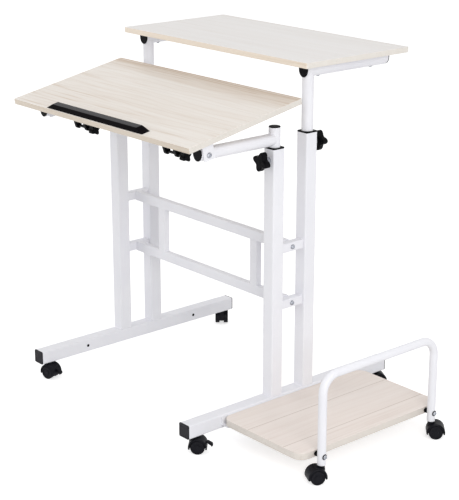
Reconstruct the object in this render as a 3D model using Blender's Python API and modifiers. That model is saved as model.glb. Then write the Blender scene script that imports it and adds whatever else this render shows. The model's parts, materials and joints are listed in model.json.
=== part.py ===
"""Mobile computer desk: a steel frame on six castors that carries a tilting
desk board, a monitor shelf and a low shelf for a computer case.

Metres, +Z up, +X to the right of the person at the desk, +Y away from them.
The desk stands on z = 0, centred over the origin.
"""

import bpy
import bmesh
from math import cos, pi, radians, sin
from mathutils import Matrix, Vector

# Fits
GAP = 0.0003
HOLE_CLEARANCE = 0.0006

# Panels of laminated board
PANEL_WIDTH = 0.800
PANEL_DEPTH = 0.394
PANEL_THICKNESS = 0.016
PANEL_CORNER = 0.005
PANEL_EDGE_ROUND = 0.0012

# Side frames: a foot tube with a front and a rear column on each side
FOOT_SPACING = 0.700
FOOT_LENGTH = 0.760
FOOT_HEIGHT = 0.050
TUBE_SIZE = 0.040
TUBE_CORNER = 0.004
TUBE_WALL = 0.0015
COLUMN_PITCH = 0.120
FRONT_COLUMN_LENGTH = 0.709
REAR_COLUMN_LENGTH = 0.736
BRIDGE_WIDTH = 0.025
BRIDGE_HEIGHT = 0.026
UPPER_BRIDGE_HEIGHT = 0.5135
LOWER_BRIDGE_HEIGHT = 0.3505
PLUG_DEPTH = 0.012
CAP_THICKNESS = 0.003

# Cross frame between the side frames
RAIL_HEIGHT = 0.030
RAIL_DEPTH = 0.020
RAIL_CORNER = 0.003
UPRIGHT_SPACING = 0.420
UPRIGHT_WIDTH = 0.030

# Column collars and the star knobs that clamp the posts
COLLAR_LIP = 0.004
COLLAR_DEPTH = 0.018
KNOB_DROP = 0.0347
KNOB_DIAMETER = 0.056
KNOB_LOBE_DEPTH = 0.011
KNOB_LOBES = 4
KNOB_THICKNESS = 0.018
KNOB_ROUND = 0.003
KNOB_HUB_DIAMETER = 0.020
KNOB_HUB_LENGTH = 0.004
FRONT_KNOB_TURN = -17.0
REAR_KNOB_TURN = 0.0
STUD_DIAMETER = 0.008
BOSS_DIAMETER = 0.018
BOSS_LENGTH = 0.012

# Round posts that slide in the columns, and the D-section tubes on them
POST_DIAMETER = 0.032
POST_WALL = 0.0015
FRONT_POST_LENGTH = 0.430
REAR_POST_LENGTH = 0.460
D_WIDTH = 0.034
D_HEIGHT = 0.033
D_CORNER = 0.010
D_ROUND_DEPTH = 0.022
D_WALL = 0.0015

# Desk carriage
DESK_SETTING = 0.0025
ARM_REACH = 0.243
ARM_NOSE = 0.0245
ARM_COPE = 0.006
PIVOT_ROD_DIAMETER = 0.010
PIVOT_HEAD_DIAMETER = 0.015
PIVOT_HEAD_LENGTH = 0.004
PIVOT_HEAD_ROUND = 0.0015

# Tilting board and what is fixed under and on it
BOARD_TILT = 11.0
PIVOT_TO_BOARD = 0.0385
PIVOT_SETBACK = 0.083
BRACKET_SHEET = 0.0025
BRACKET_LENGTH = 0.036
BRACKET_FLANGE = 0.016
BRACKET_DROP = 0.0147
BRACKET_CORNER = 0.004
CLAMP_SPACING = 0.406
CLAMP_OFFSET = 0.010
CLAMP_GRIP = 0.036
CLAMP_CHEEK = 0.010
CLAMP_LENGTH = 0.032
CLAMP_BASE = 0.006
CLAMP_TIP_RADIUS = 0.0085
CLAMP_DISC_DIAMETER = 0.022
TILT_KNOB_DROP = 0.0225
TILT_KNOB_STANDOFF = 0.014
TILT_KNOB_DIAMETER = 0.032
TILT_KNOB_TURN = 20.0
STOP_LENGTH = 0.438
STOP_OFFSET = -0.014
STOP_WIDTH = 0.028
STOP_HEIGHT = 0.013
STOP_SETBACK = 0.003
STOP_TOP_WIDTH = 0.022
STOP_END_SLOPE = 0.026

# Monitor shelf
SHELF_SETTING = 0.1465
SHELF_OVERHANG = 0.053
SHELF_TUBE_OVERHANG = 0.019
SHELF_TUBE_LENGTH = 0.313

# Holes for the bolts that hold the cross frame, and for a case shelf on either foot
FRAME_BOLT_DIAMETER = 0.006
CASE_BOLT_DIAMETER = 0.008
WELD_OVERLAP = 0.0005

# Computer case shelf beside the right foot, and its hoop
CASE_SHELF_WIDTH = 0.311
CASE_SHELF_LENGTH = 0.534
CASE_SHELF_THICKNESS = 0.020
CASE_SHELF_RISE = 0.014
CASE_SHELF_SETBACK = 0.002
CASE_SHELF_CORNER = 0.030
CASE_BOLT_PITCH = 0.420
CASE_RAIL_SHEET = 0.0025
CASE_RAIL_HEIGHT = 0.023
CASE_RAIL_FLANGE = 0.030
HOOP_DIAMETER = 0.023
HOOP_WALL = 0.0015
HOOP_HEIGHT = 0.3045
HOOP_BEND = 0.048
HOOP_SPACER = 0.010
HOOP_SPACER_DIAMETER = 0.014
HOOP_SOCKET_DEPTH = 0.012

# Castors
CASTOR_INSET = 0.031
WHEEL_DIAMETER = 0.040
WHEEL_THICKNESS = 0.014
WHEEL_ROUND = 0.002
AXLE_DIAMETER = 0.006
HOOD_DIAMETER = 0.052
HOOD_SHELL = 0.0045
HOOD_LIP_ANGLE = 12
HOOD_WEB = 0.012
WHEEL_SIDE_PLAY = 0.001
CASTOR_TRAIL = 0.014
STEM_DIAMETER = 0.009
STEM_BOSS_DIAMETER = 0.018
STEM_GRIP = 0.022
BRAKE_WIDTH = 0.012
BRAKE_LENGTH = 0.013
BRAKE_THICKNESS = 0.004
BRAKE_PIN_RADIUS = 0.0035
BRAKE_ANGLE = 22.0
BRAKE_SLOPE = 35.0

# Directions in which the castors have come to rest, degrees from +X
CASTOR_HEADINGS = {
    "front_left": 15.0,
    "front_right": 46.0,
    "rear_left": 139.0,
    "rear_right": 60.0,
    "outer_front": 243.0,
    "outer_rear": 46.0,
}
BRAKED_CASTORS = ("front_left", "front_right")

# Worked out from the driving dimensions
SIDE_X = FOOT_SPACING / 2
COLUMN_Y = COLUMN_PITCH / 2
FOOT_TOP = FOOT_HEIGHT + TUBE_SIZE
FRONT_COLUMN_TOP = FOOT_TOP + GAP + FRONT_COLUMN_LENGTH
REAR_COLUMN_TOP = FOOT_TOP + GAP + REAR_COLUMN_LENGTH
PIVOT_Z = FRONT_COLUMN_TOP + COLLAR_LIP + DESK_SETTING + D_HEIGHT / 2
SHELF_TUBE_Z = REAR_COLUMN_TOP + COLLAR_LIP + SHELF_SETTING + D_HEIGHT / 2
SHELF_BOTTOM = SHELF_TUBE_Z + D_HEIGHT / 2 + GAP
KNOB_SEAT = TUBE_SIZE / 2 + BOSS_LENGTH + 2 * GAP
CASE_SHELF_BOTTOM = FOOT_HEIGHT + CASE_SHELF_RISE
CASE_SHELF_INNER = SIDE_X + TUBE_SIZE / 2 + CASE_RAIL_SHEET + GAP
HOOP_X = CASE_SHELF_INNER + CASE_SHELF_WIDTH + HOOP_SPACER + HOOP_DIAMETER / 2
ROUND_SIDES = 20
FINE_SIDES = 10

# Axes along which an outline is drawn out: outline across, outline up, length
ALONG_X = Matrix(((0, 0, 1, 0), (1, 0, 0, 0), (0, 1, 0, 0), (0, 0, 0, 1)))
ALONG_Y = Matrix(((1, 0, 0, 0), (0, 0, -1, 0), (0, 1, 0, 0), (0, 0, 0, 1)))
ALONG_Z = Matrix.Identity(4)


def clear_scene():
    for old in list(bpy.data.objects):
        bpy.data.objects.remove(old, do_unlink=True)


def new_collection(name):
    collection = bpy.data.collections.new(name)
    bpy.context.scene.collection.children.link(collection)
    return collection


clear_scene()
PARTS = new_collection("mobile_computer_desk")
CUTTERS = new_collection("cutters")


def finish(name, colour, roughness, metallic):
    material = bpy.data.materials.new(name)
    material.use_nodes = True
    shader = material.node_tree.nodes["Principled BSDF"]
    shader.inputs["Base Color"].default_value = (*colour, 1.0)
    shader.inputs["Roughness"].default_value = roughness
    shader.inputs["Metallic"].default_value = metallic
    return material


WHITE_STEEL = finish("white_powder_coat", (0.84, 0.84, 0.86), 0.40, 0.0)
MAPLE = finish("pale_maple_laminate", (0.78, 0.71, 0.64), 0.45, 0.0)
BLACK_PLASTIC = finish("black_plastic", (0.018, 0.018, 0.020), 0.45, 0.0)
WHEEL_RUBBER = finish("black_wheel_tread", (0.022, 0.022, 0.025), 0.55, 0.0)
ZINC = finish("zinc_plated_steel", (0.62, 0.62, 0.64), 0.30, 1.0)


# Outlines

def rectangle(width, height, radius=0.0, steps=2, centre=(0.0, 0.0)):
    """A rectangle with round corners, counter-clockwise."""
    points = []
    for quarter, (sx, sy) in enumerate(((1, 1), (-1, 1), (-1, -1), (1, -1))):
        cx = centre[0] + sx * (width / 2 - radius)
        cy = centre[1] + sy * (height / 2 - radius)
        if radius == 0.0:
            points.append((cx, cy))
            continue
        for step in range(steps + 1):
            angle = (quarter + step / steps) * pi / 2
            points.append((cx + radius * cos(angle), cy + radius * sin(angle)))
    return points


def circle(diameter, sides=ROUND_SIDES, centre=(0.0, 0.0)):
    turns = (2 * pi * side / sides for side in range(sides))
    return [(centre[0] + diameter / 2 * cos(a), centre[1] + diameter / 2 * sin(a)) for a in turns]


def arc(radius, start, end, steps, centre=(0.0, 0.0)):
    """Points on an arc, angles in degrees."""
    angles = (radians(start + (end - start) * step / steps) for step in range(steps + 1))
    return [(centre[0] + radius * cos(a), centre[1] + radius * sin(a)) for a in angles]


def d_section(inset=0.0):
    """A flat-topped tube section whose lower part is a half ellipse, centred on its height."""
    half = D_WIDTH / 2 - inset
    top = D_HEIGHT / 2 - inset
    corner = max(D_CORNER - inset, 0.0005)
    depth = D_ROUND_DEPTH - inset
    low = depth + inset - D_HEIGHT / 2
    right = arc(corner, 0, 90, 3, (half - corner, top - corner))
    left = arc(corner, 90, 180, 3, (corner - half, top - corner))
    return right + left + [(across * half, low + up * depth) for across, up in arc(1.0, 180, 360, 10)]


def lobed(diameter, lobe_depth, lobes, steps=24):
    """A star knob's outline."""
    points = []
    for step in range(steps):
        angle = 2 * pi * step / steps
        radius = diameter / 2 - lobe_depth * (1 - cos(lobes * angle)) / 2
        points.append((radius * cos(angle), radius * sin(angle)))
    return points


# Solids

def add_object(name, mesh, material, parent, location, collection=PARTS):
    obj = bpy.data.objects.new(name, mesh)
    collection.objects.link(obj)
    obj.parent = parent
    obj.location = location
    if material:
        mesh.materials.clear()
        mesh.materials.append(material)
    return obj


def closed(mesh):
    """Weld a mesh's loose edges and point its faces outwards."""
    tidy = bmesh.new()
    tidy.from_mesh(mesh)
    bmesh.ops.remove_doubles(tidy, verts=tidy.verts, dist=0.00001)
    bmesh.ops.recalc_face_normals(tidy, faces=tidy.faces)
    tidy.to_mesh(mesh)
    tidy.free()
    return mesh


def evaluated_mesh(obj):
    """The mesh an object shows, with the object removed."""
    data = obj.data
    bpy.context.scene.collection.objects.link(obj)
    mesh = bpy.data.meshes.new_from_object(obj.evaluated_get(bpy.context.evaluated_depsgraph_get()))
    bpy.data.objects.remove(obj, do_unlink=True)
    bpy.data.batch_remove([data])
    return closed(mesh)


def mesh_of_curve(curve):
    return evaluated_mesh(bpy.data.objects.new("sketch", curve))


def drawn_mesh(outlines, length, axis=ALONG_Z, edge_round=0.0, shift=(0.0, 0.0, 0.0)):
    """A flat outline, with any holes, drawn out to a length and centred on it."""
    curve = bpy.data.curves.new("outline", "CURVE")
    curve.dimensions = "2D"
    curve.fill_mode = "BOTH"
    curve.extrude = length / 2 - edge_round
    curve.bevel_depth = edge_round
    curve.bevel_resolution = 0
    curve.offset = -edge_round
    for outline in outlines:
        spline = curve.splines.new("POLY")
        spline.points.add(len(outline) - 1)
        spline.use_cyclic_u = True
        for point, (across, up) in zip(spline.points, outline):
            point.co = (across, up, 0.0, 1.0)
    mesh = mesh_of_curve(curve)
    mesh.transform(Matrix.Translation(shift) @ axis)
    return mesh


def moved(mesh, location):
    mesh.transform(Matrix.Translation(location))
    return mesh


def turned_mesh(profile, axis=ALONG_Z, steps=ROUND_SIDES):
    """A profile of radius and height, from top to bottom, turned about its own axis."""
    mesh = bpy.data.meshes.new("profile")
    points = [(radius, 0.0, height) for radius, height in profile]
    mesh.from_pydata(points, [(i, i + 1) for i in range(len(points) - 1)], [])
    blank = bpy.data.objects.new("profile", mesh)
    screw = blank.modifiers.new("turn", "SCREW")
    screw.steps = steps
    screw.render_steps = steps
    screw.use_merge_vertices = True
    screw.merge_threshold = 0.00001
    solid = evaluated_mesh(blank)
    solid.transform(axis)
    solid.shade_smooth()
    solid.set_sharp_from_angle(angle=radians(35))
    return solid


def boolean(obj, mesh, operation):
    """Cut away, or join on, a mesh given in the object's own frame."""
    tool = add_object(obj.name + "_tool", mesh, None, obj, (0.0, 0.0, 0.0), CUTTERS)
    tool.hide_render = True
    tool.display_type = "WIRE"
    modifier = obj.modifiers.new(operation.lower(), "BOOLEAN")
    modifier.operation = operation
    modifier.object = tool
    return obj


def cut(obj, mesh):
    return boolean(obj, mesh, "DIFFERENCE")


def weld_on(obj, mesh):
    return boolean(obj, mesh, "UNION")


def rod_mesh(diameter, length, axis, centre, sides=FINE_SIDES):
    return drawn_mesh([circle(diameter, sides)], length, axis, shift=centre)


def empty(name, parent, location, rotation=(0.0, 0.0, 0.0)):
    pivot = bpy.data.objects.new(name, None)
    PARTS.objects.link(pivot)
    pivot.parent = parent
    pivot.location = location
    pivot.rotation_euler = rotation
    return pivot


def square_tube(name, length, axis, parent, location):
    outer = rectangle(TUBE_SIZE, TUBE_SIZE, TUBE_CORNER)
    bore = TUBE_SIZE - 2 * TUBE_WALL
    inner = rectangle(bore, bore, TUBE_CORNER - TUBE_WALL)
    return add_object(name, drawn_mesh([outer, inner], length, axis), WHITE_STEEL, parent, location)


def end_cap(name, face, plug, axis, parent, location):
    """A black cap: its face covers a tube's end at the location, its plug sits in the tube.

    The axis points out of the tube, from the location.
    """
    plate = drawn_mesh([face], CAP_THICKNESS, axis, shift=axis @ Vector((0.0, 0.0, CAP_THICKNESS / 2)))
    cap = add_object(name, plate, BLACK_PLASTIC, parent, location)
    plug_length = PLUG_DEPTH + CAP_THICKNESS / 2
    plug_centre = CAP_THICKNESS / 2 - plug_length / 2
    return weld_on(cap, drawn_mesh([plug], plug_length, axis, shift=axis @ Vector((0.0, 0.0, plug_centre))))


# Ways out of a tube's end: outline across, outline up, out of the tube
OUT_FRONT = ALONG_Y
OUT_REAR = Matrix(((-1, 0, 0, 0), (0, 0, 1, 0), (0, 1, 0, 0), (0, 0, 0, 1)))
OUT_TOP = ALONG_Z

FACE_RIGHT = Matrix.Rotation(pi / 2, 4, "Y")
FACE_FRONT = Matrix.Rotation(pi / 2, 4, "X")
FACE_BACK = Matrix.Rotation(-pi / 2, 4, "X")

SIDES = (("left", -1), ("right", 1))
ENDS = (("front", -1), ("rear", 1))

desk = empty("desk", None, (0.0, 0.0, 0.0))


# Feet, with a rail on the right one for the case shelf

FOOT_Z = FOOT_HEIGHT + TUBE_SIZE / 2
CASTOR_Y = FOOT_LENGTH / 2 - CASTOR_INSET
foot_tube_length = FOOT_LENGTH - 2 * CAP_THICKNESS - 2 * GAP
bore_size = TUBE_SIZE - 2 * TUBE_WALL
bore_corner = TUBE_CORNER - TUBE_WALL


def case_rail_mesh():
    """An angle whose upright leg is welded to the foot and whose flange carries the shelf."""
    inner = TUBE_SIZE / 2 - WELD_OVERLAP
    outer = TUBE_SIZE / 2 + CASE_RAIL_SHEET
    flange_top = CASE_SHELF_RISE - TUBE_SIZE / 2 - GAP
    flange_low = flange_top - CASE_RAIL_SHEET
    angle = [
        (inner, flange_low),
        (TUBE_SIZE / 2 + CASE_RAIL_FLANGE, flange_low),
        (TUBE_SIZE / 2 + CASE_RAIL_FLANGE, flange_top),
        (outer, flange_top),
        (outer, flange_low + CASE_RAIL_HEIGHT),
        (inner, flange_low + CASE_RAIL_HEIGHT),
    ]
    return drawn_mesh([angle], CASE_SHELF_LENGTH, ALONG_Y, shift=(0.0, CASE_SHELF_SETBACK, 0.0))


for side, sign in SIDES:
    foot = square_tube("foot_" + side, foot_tube_length, ALONG_Y, desk, (sign * SIDE_X, 0.0, FOOT_Z))
    for end, toward in ENDS:
        stem_hole_centre = (0.0, toward * CASTOR_Y, -TUBE_SIZE / 2)
        cut(foot, rod_mesh(STEM_DIAMETER + HOLE_CLEARANCE, 4 * TUBE_WALL, ALONG_Z, stem_hole_centre))
        bolt_y = toward * CASE_BOLT_PITCH / 2
        cut(foot, rod_mesh(CASE_BOLT_DIAMETER, 2 * TUBE_SIZE, ALONG_X, (0.0, bolt_y, 0.0)))
        end_cap(
            f"foot_cap_{end}_{side}",
            rectangle(TUBE_SIZE, TUBE_SIZE, TUBE_CORNER),
            rectangle(bore_size - 2 * GAP, bore_size - 2 * GAP, bore_corner),
            OUT_REAR if end == "rear" else OUT_FRONT,
            desk,
            (sign * SIDE_X, toward * (foot_tube_length / 2 + GAP), FOOT_Z),
        )
    if side == "right":
        weld_on(foot, case_rail_mesh())


# Columns with their collars and knobs; the front ones carry the bridges to the rear ones

def star_knob(name, diameter, turn, stud_length, parent, facing):
    """A black star knob with its stud; its hub starts at the parent and faces along the matrix."""
    outline = lobed(diameter, KNOB_LOBE_DEPTH * diameter / KNOB_DIAMETER, KNOB_LOBES)
    star = drawn_mesh([outline], KNOB_THICKNESS, Matrix.Rotation(radians(turn), 4, "Z"), KNOB_ROUND)
    moved(star, (0.0, 0.0, KNOB_HUB_LENGTH + KNOB_THICKNESS / 2))
    star.transform(facing)
    knob = add_object(name, star, BLACK_PLASTIC, parent, (0.0, 0.0, 0.0))
    stem = [
        (0.0, KNOB_HUB_LENGTH + KNOB_THICKNESS / 2),
        (KNOB_HUB_DIAMETER / 2, KNOB_HUB_LENGTH + KNOB_THICKNESS / 2),
        (KNOB_HUB_DIAMETER / 2, GAP),
        (STUD_DIAMETER / 2, GAP),
        (STUD_DIAMETER / 2, -stud_length),
        (0.0, -stud_length),
    ]
    return weld_on(knob, turned_mesh(stem, facing, FINE_SIDES))


def add_bridge(column, height):
    """A bridge tube welded to a column, open to the rear and drilled for the cross frame's bolt."""
    reach = COLUMN_PITCH - TUBE_SIZE - GAP
    bar_centre = (0.0, (TUBE_SIZE + reach - TUBE_WALL) / 2, height)
    bar = rectangle(BRIDGE_WIDTH, BRIDGE_HEIGHT, RAIL_CORNER)
    weld_on(column, drawn_mesh([bar], reach + TUBE_WALL, ALONG_Y, shift=bar_centre))
    bore = rectangle(BRIDGE_WIDTH - 2 * TUBE_WALL, BRIDGE_HEIGHT - 2 * TUBE_WALL, RAIL_CORNER - TUBE_WALL)
    bore_centre = (0.0, TUBE_SIZE / 2 + TUBE_WALL + reach / 2, height)
    cut(column, drawn_mesh([bore], reach, ALONG_Y, shift=bore_centre))
    cut(column, rod_mesh(FRAME_BOLT_DIAMETER, 2 * BRIDGE_WIDTH, ALONG_X, (0.0, COLUMN_Y, height)))


for side, sign in SIDES:
    for end, toward in ENDS:
        length = FRONT_COLUMN_LENGTH if end == "front" else REAR_COLUMN_LENGTH
        top = FRONT_COLUMN_TOP if end == "front" else REAR_COLUMN_TOP
        place = Vector((sign * SIDE_X, toward * COLUMN_Y, top))
        middle = length / 2
        column = square_tube(
            f"column_{end}_{side}", length, ALONG_Z, desk, place - Vector((0.0, 0.0, middle))
        )
        knob_z = COLLAR_LIP - KNOB_DROP
        boss_start = TUBE_SIZE / 2 - WELD_OVERLAP
        boss_length = BOSS_LENGTH + WELD_OVERLAP
        boss_y = toward * (boss_start + boss_length / 2)
        weld_on(column, rod_mesh(BOSS_DIAMETER, boss_length, ALONG_Y, (0.0, boss_y, knob_z + middle), 16))
        stud_hole_length = 2 * (BOSS_LENGTH + 2 * TUBE_WALL)
        stud_hole_centre = (0.0, toward * TUBE_SIZE / 2, knob_z + middle)
        cut(column, rod_mesh(STUD_DIAMETER + HOLE_CLEARANCE, stud_hole_length, ALONG_Y, stud_hole_centre))
        if end == "front":
            add_bridge(column, UPPER_BRIDGE_HEIGHT - top + middle)
            add_bridge(column, LOWER_BRIDGE_HEIGHT - top + middle)

        post_bore = circle(POST_DIAMETER + 2 * GAP)
        lip_length = COLLAR_LIP - GAP
        lip_rings = [rectangle(TUBE_SIZE, TUBE_SIZE, TUBE_CORNER), post_bore]
        lip = drawn_mesh(lip_rings, lip_length, shift=(0.0, 0.0, GAP + lip_length / 2))
        collar = add_object(f"column_collar_{end}_{side}", lip, BLACK_PLASTIC, desk, place)
        sleeve_rings = [rectangle(bore_size - 2 * GAP, bore_size - 2 * GAP, bore_corner), post_bore]
        sleeve_length = COLLAR_DEPTH + COLLAR_LIP / 2
        sleeve_centre = (0.0, 0.0, COLLAR_LIP / 2 - sleeve_length / 2)
        weld_on(collar, drawn_mesh(sleeve_rings, sleeve_length, shift=sleeve_centre))

        knob_axis = empty(
            f"height_knob_{end}_{side}_axis", desk, place + Vector((0.0, toward * KNOB_SEAT, knob_z))
        )
        facing = FACE_BACK if end == "rear" else FACE_FRONT
        turn = REAR_KNOB_TURN if end == "rear" else FRONT_KNOB_TURN
        stud_length = KNOB_SEAT - POST_DIAMETER / 2 - GAP
        star_knob(f"height_knob_{end}_{side}", KNOB_DIAMETER, turn, stud_length, knob_axis, facing)


# Cross frame: two rails and two uprights welded into a ladder, bolted to the bridges

rail_length = FOOT_SPACING - BRIDGE_WIDTH - 2 * GAP
frame_z = (UPPER_BRIDGE_HEIGHT + LOWER_BRIDGE_HEIGHT) / 2
rail_rise = (UPPER_BRIDGE_HEIGHT - LOWER_BRIDGE_HEIGHT) / 2
upright_length = 2 * rail_rise - RAIL_HEIGHT + 2 * WELD_OVERLAP
rail_outline = rectangle(RAIL_DEPTH, RAIL_HEIGHT, RAIL_CORNER)
rail_bore = rectangle(RAIL_DEPTH - 2 * TUBE_WALL, RAIL_HEIGHT - 2 * TUBE_WALL, RAIL_CORNER - TUBE_WALL)
upright_outline = rectangle(UPRIGHT_WIDTH, RAIL_DEPTH, RAIL_CORNER)
upright_bore = rectangle(UPRIGHT_WIDTH - 2 * TUBE_WALL, RAIL_DEPTH - 4 * TUBE_WALL, RAIL_CORNER - TUBE_WALL)
ladder = add_object(
    "cross_frame",
    drawn_mesh([rail_outline], rail_length, ALONG_X, shift=(0.0, 0.0, rail_rise)),
    WHITE_STEEL,
    desk,
    (0.0, 0.0, frame_z),
)
weld_on(ladder, drawn_mesh([rail_outline], rail_length, ALONG_X, shift=(0.0, 0.0, -rail_rise)))
for side, sign in SIDES:
    upright_centre = (sign * UPRIGHT_SPACING / 2, 0.0, 0.0)
    weld_on(ladder, drawn_mesh([upright_outline], upright_length, shift=upright_centre))
for level in (1, -1):
    cut(ladder, drawn_mesh([rail_bore], 2 * rail_length, ALONG_X, shift=(0.0, 0.0, level * rail_rise)))
for side, sign in SIDES:
    cut(ladder, drawn_mesh([upright_bore], 2 * rail_rise, shift=(sign * UPRIGHT_SPACING / 2, 0.0, 0.0)))


# Desk carriage: two posts with arms, and the rod that the board turns on

desk_carriage = empty("desk_carriage", desk, (0.0, -COLUMN_Y, PIVOT_Z))
post_top = PIVOT_TO_BOARD - 2 * GAP - CAP_THICKNESS
arm_length = ARM_REACH + ARM_NOSE - ARM_COPE - CAP_THICKNESS - GAP
bracket_outer = D_WIDTH / 2 + GAP + BRACKET_SHEET
pivot_hole = PIVOT_ROD_DIAMETER + HOLE_CLEARANCE
post_rings = [circle(POST_DIAMETER), circle(POST_DIAMETER - 2 * POST_WALL)]
for side, sign in SIDES:
    add_object(
        "front_post_" + side,
        drawn_mesh(post_rings, FRONT_POST_LENGTH),
        WHITE_STEEL,
        desk_carriage,
        (sign * SIDE_X, 0.0, post_top - GAP - FRONT_POST_LENGTH / 2),
    )
    end_cap(
        "post_cap_" + side,
        circle(POST_DIAMETER),
        circle(POST_DIAMETER - 2 * POST_WALL - 2 * GAP),
        OUT_TOP,
        desk_carriage,
        (sign * SIDE_X, 0.0, post_top),
    )
    arm_middle = ARM_COPE + arm_length / 2
    arm = add_object(
        "desk_arm_" + side,
        drawn_mesh([d_section(), d_section(D_WALL)], arm_length, ALONG_Y),
        WHITE_STEEL,
        desk_carriage,
        (sign * SIDE_X, -arm_middle, 0.0),
    )
    cut(arm, rod_mesh(POST_DIAMETER + 2 * GAP, 2 * D_HEIGHT, ALONG_Z, (0.0, arm_middle, 0.0), ROUND_SIDES))
    cut(arm, rod_mesh(pivot_hole, 2 * D_WIDTH, ALONG_X, (0.0, arm_middle - ARM_REACH, 0.0)))
    end_cap(
        "arm_cap_" + side,
        d_section(),
        d_section(D_WALL + GAP),
        OUT_FRONT,
        desk_carriage,
        (sign * SIDE_X, -ARM_REACH - ARM_NOSE + CAP_THICKNESS, 0.0),
    )

head_start = SIDE_X + bracket_outer + GAP
rod_half = [
    (0.0, head_start + PIVOT_HEAD_LENGTH),
    (PIVOT_HEAD_DIAMETER / 2 - PIVOT_HEAD_ROUND, head_start + PIVOT_HEAD_LENGTH),
    (PIVOT_HEAD_DIAMETER / 2, head_start + PIVOT_HEAD_LENGTH - PIVOT_HEAD_ROUND),
    (PIVOT_HEAD_DIAMETER / 2, head_start),
    (PIVOT_ROD_DIAMETER / 2, head_start),
]
rod_profile = rod_half + [(radius, -height) for radius, height in reversed(rod_half)]
rod_solid = turned_mesh(rod_profile, FACE_RIGHT, FINE_SIDES)
pivot_rod = add_object("pivot_rod", rod_solid, ZINC, desk_carriage, (0.0, -ARM_REACH, 0.0))
for side, sign in SIDES:
    disc_centre = (CLAMP_OFFSET + sign * CLAMP_SPACING / 2, 0.0, 0.0)
    weld_on(pivot_rod, rod_mesh(CLAMP_DISC_DIAMETER, CLAMP_GRIP, ALONG_X, disc_centre, ROUND_SIDES))


# Tilting board: modelled flat about its pivot, then turned to its rest angle

tilt_axis = empty("tilt_axis", desk_carriage, (0.0, -ARM_REACH, 0.0), (radians(BOARD_TILT), 0.0, 0.0))


def panel(name, width, depth, corner, parent, location, thickness=PANEL_THICKNESS):
    outline = rectangle(width, depth, corner, 4)
    mesh = drawn_mesh([outline], thickness, ALONG_Z, PANEL_EDGE_ROUND)
    return add_object(name, mesh, MAPLE, parent, location)


board_y = PANEL_DEPTH / 2 - PIVOT_SETBACK
board_z = PIVOT_TO_BOARD + PANEL_THICKNESS / 2
panel("desk_board", PANEL_WIDTH, PANEL_DEPTH, PANEL_CORNER, tilt_axis, (0.0, board_y, board_z))
seat_z = PIVOT_TO_BOARD - GAP
for side, sign in SIDES:
    cheek_top = seat_z - BRACKET_SHEET / 2
    corner_y = BRACKET_LENGTH / 2 - BRACKET_CORNER
    corner_z = BRACKET_CORNER - BRACKET_DROP
    cheek = arc(BRACKET_CORNER, 180, 270, 3, (-corner_y, corner_z))
    cheek += arc(BRACKET_CORNER, 270, 360, 3, (corner_y, corner_z))
    cheek += [(BRACKET_LENGTH / 2, cheek_top), (-BRACKET_LENGTH / 2, cheek_top)]
    base_width = 2 * bracket_outer + 2 * BRACKET_FLANGE
    base = drawn_mesh([rectangle(base_width, BRACKET_LENGTH)], BRACKET_SHEET)
    moved(base, (0.0, 0.0, seat_z - BRACKET_SHEET / 2))
    bracket = add_object("tilt_bracket_" + side, base, WHITE_STEEL, tilt_axis, (sign * SIDE_X, 0.0, 0.0))
    for face in (-1, 1):
        cheek_x = face * (bracket_outer - BRACKET_SHEET / 2)
        cheek_rings = [cheek, circle(pivot_hole, FINE_SIDES)]
        weld_on(bracket, drawn_mesh(cheek_rings, BRACKET_SHEET, ALONG_X, shift=(cheek_x, 0.0, 0.0)))

    # A clamp on the board: its two cheeks grip a disc of the rod, and the knob's stud draws them in
    clamp_x = CLAMP_OFFSET + sign * CLAMP_SPACING / 2
    clamp_width = CLAMP_GRIP + 2 * GAP + 2 * CLAMP_CHEEK
    clamp_base = drawn_mesh([rectangle(clamp_width, CLAMP_LENGTH)], CLAMP_BASE)
    moved(clamp_base, (0.0, 0.0, seat_z - CLAMP_BASE / 2))
    clamp = add_object("tilt_clamp_" + side, clamp_base, BLACK_PLASTIC, tilt_axis, (clamp_x, 0.0, 0.0))
    jaw_top = seat_z - CLAMP_BASE / 2
    jaw = arc(CLAMP_TIP_RADIUS, 180, 360, 10, (0.0, -TILT_KNOB_DROP))
    jaw_rings = [
        jaw + [(CLAMP_LENGTH / 2, jaw_top), (-CLAMP_LENGTH / 2, jaw_top)],
        circle(PIVOT_ROD_DIAMETER + 2 * GAP, FINE_SIDES),
        circle(STUD_DIAMETER + HOLE_CLEARANCE, FINE_SIDES, (0.0, -TILT_KNOB_DROP)),
    ]
    for face in (-1, 1):
        jaw_x = face * (clamp_width - CLAMP_CHEEK) / 2
        weld_on(clamp, drawn_mesh(jaw_rings, CLAMP_CHEEK, ALONG_X, shift=(jaw_x, 0.0, 0.0)))
    knob_place = (clamp_x + clamp_width / 2 + TILT_KNOB_STANDOFF, 0.0, -TILT_KNOB_DROP)
    stud_length = clamp_width + TILT_KNOB_STANDOFF
    knob_axis = empty("tilt_knob_" + side + "_axis", tilt_axis, knob_place)
    star_knob("tilt_knob_" + side, TILT_KNOB_DIAMETER, TILT_KNOB_TURN, stud_length, knob_axis, FACE_RIGHT)

# The stop bar along the front edge: a ridge with sloping sides and ends
stop_z = PIVOT_TO_BOARD + PANEL_THICKNESS + GAP + STOP_HEIGHT / 2
stop_y = -PIVOT_SETBACK + STOP_SETBACK + STOP_WIDTH / 2
stop_mesh = drawn_mesh([rectangle(STOP_LENGTH, STOP_WIDTH)], STOP_HEIGHT)
for vertex in stop_mesh.vertices:
    if vertex.co.z > 0:
        vertex.co.x *= 1 - 2 * STOP_END_SLOPE / STOP_LENGTH
        vertex.co.y *= STOP_TOP_WIDTH / STOP_WIDTH
add_object("keyboard_stop", stop_mesh, BLACK_PLASTIC, tilt_axis, (STOP_OFFSET, stop_y, stop_z))


# Monitor shelf on two D-section tubes, each welded across the top of a post

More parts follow.
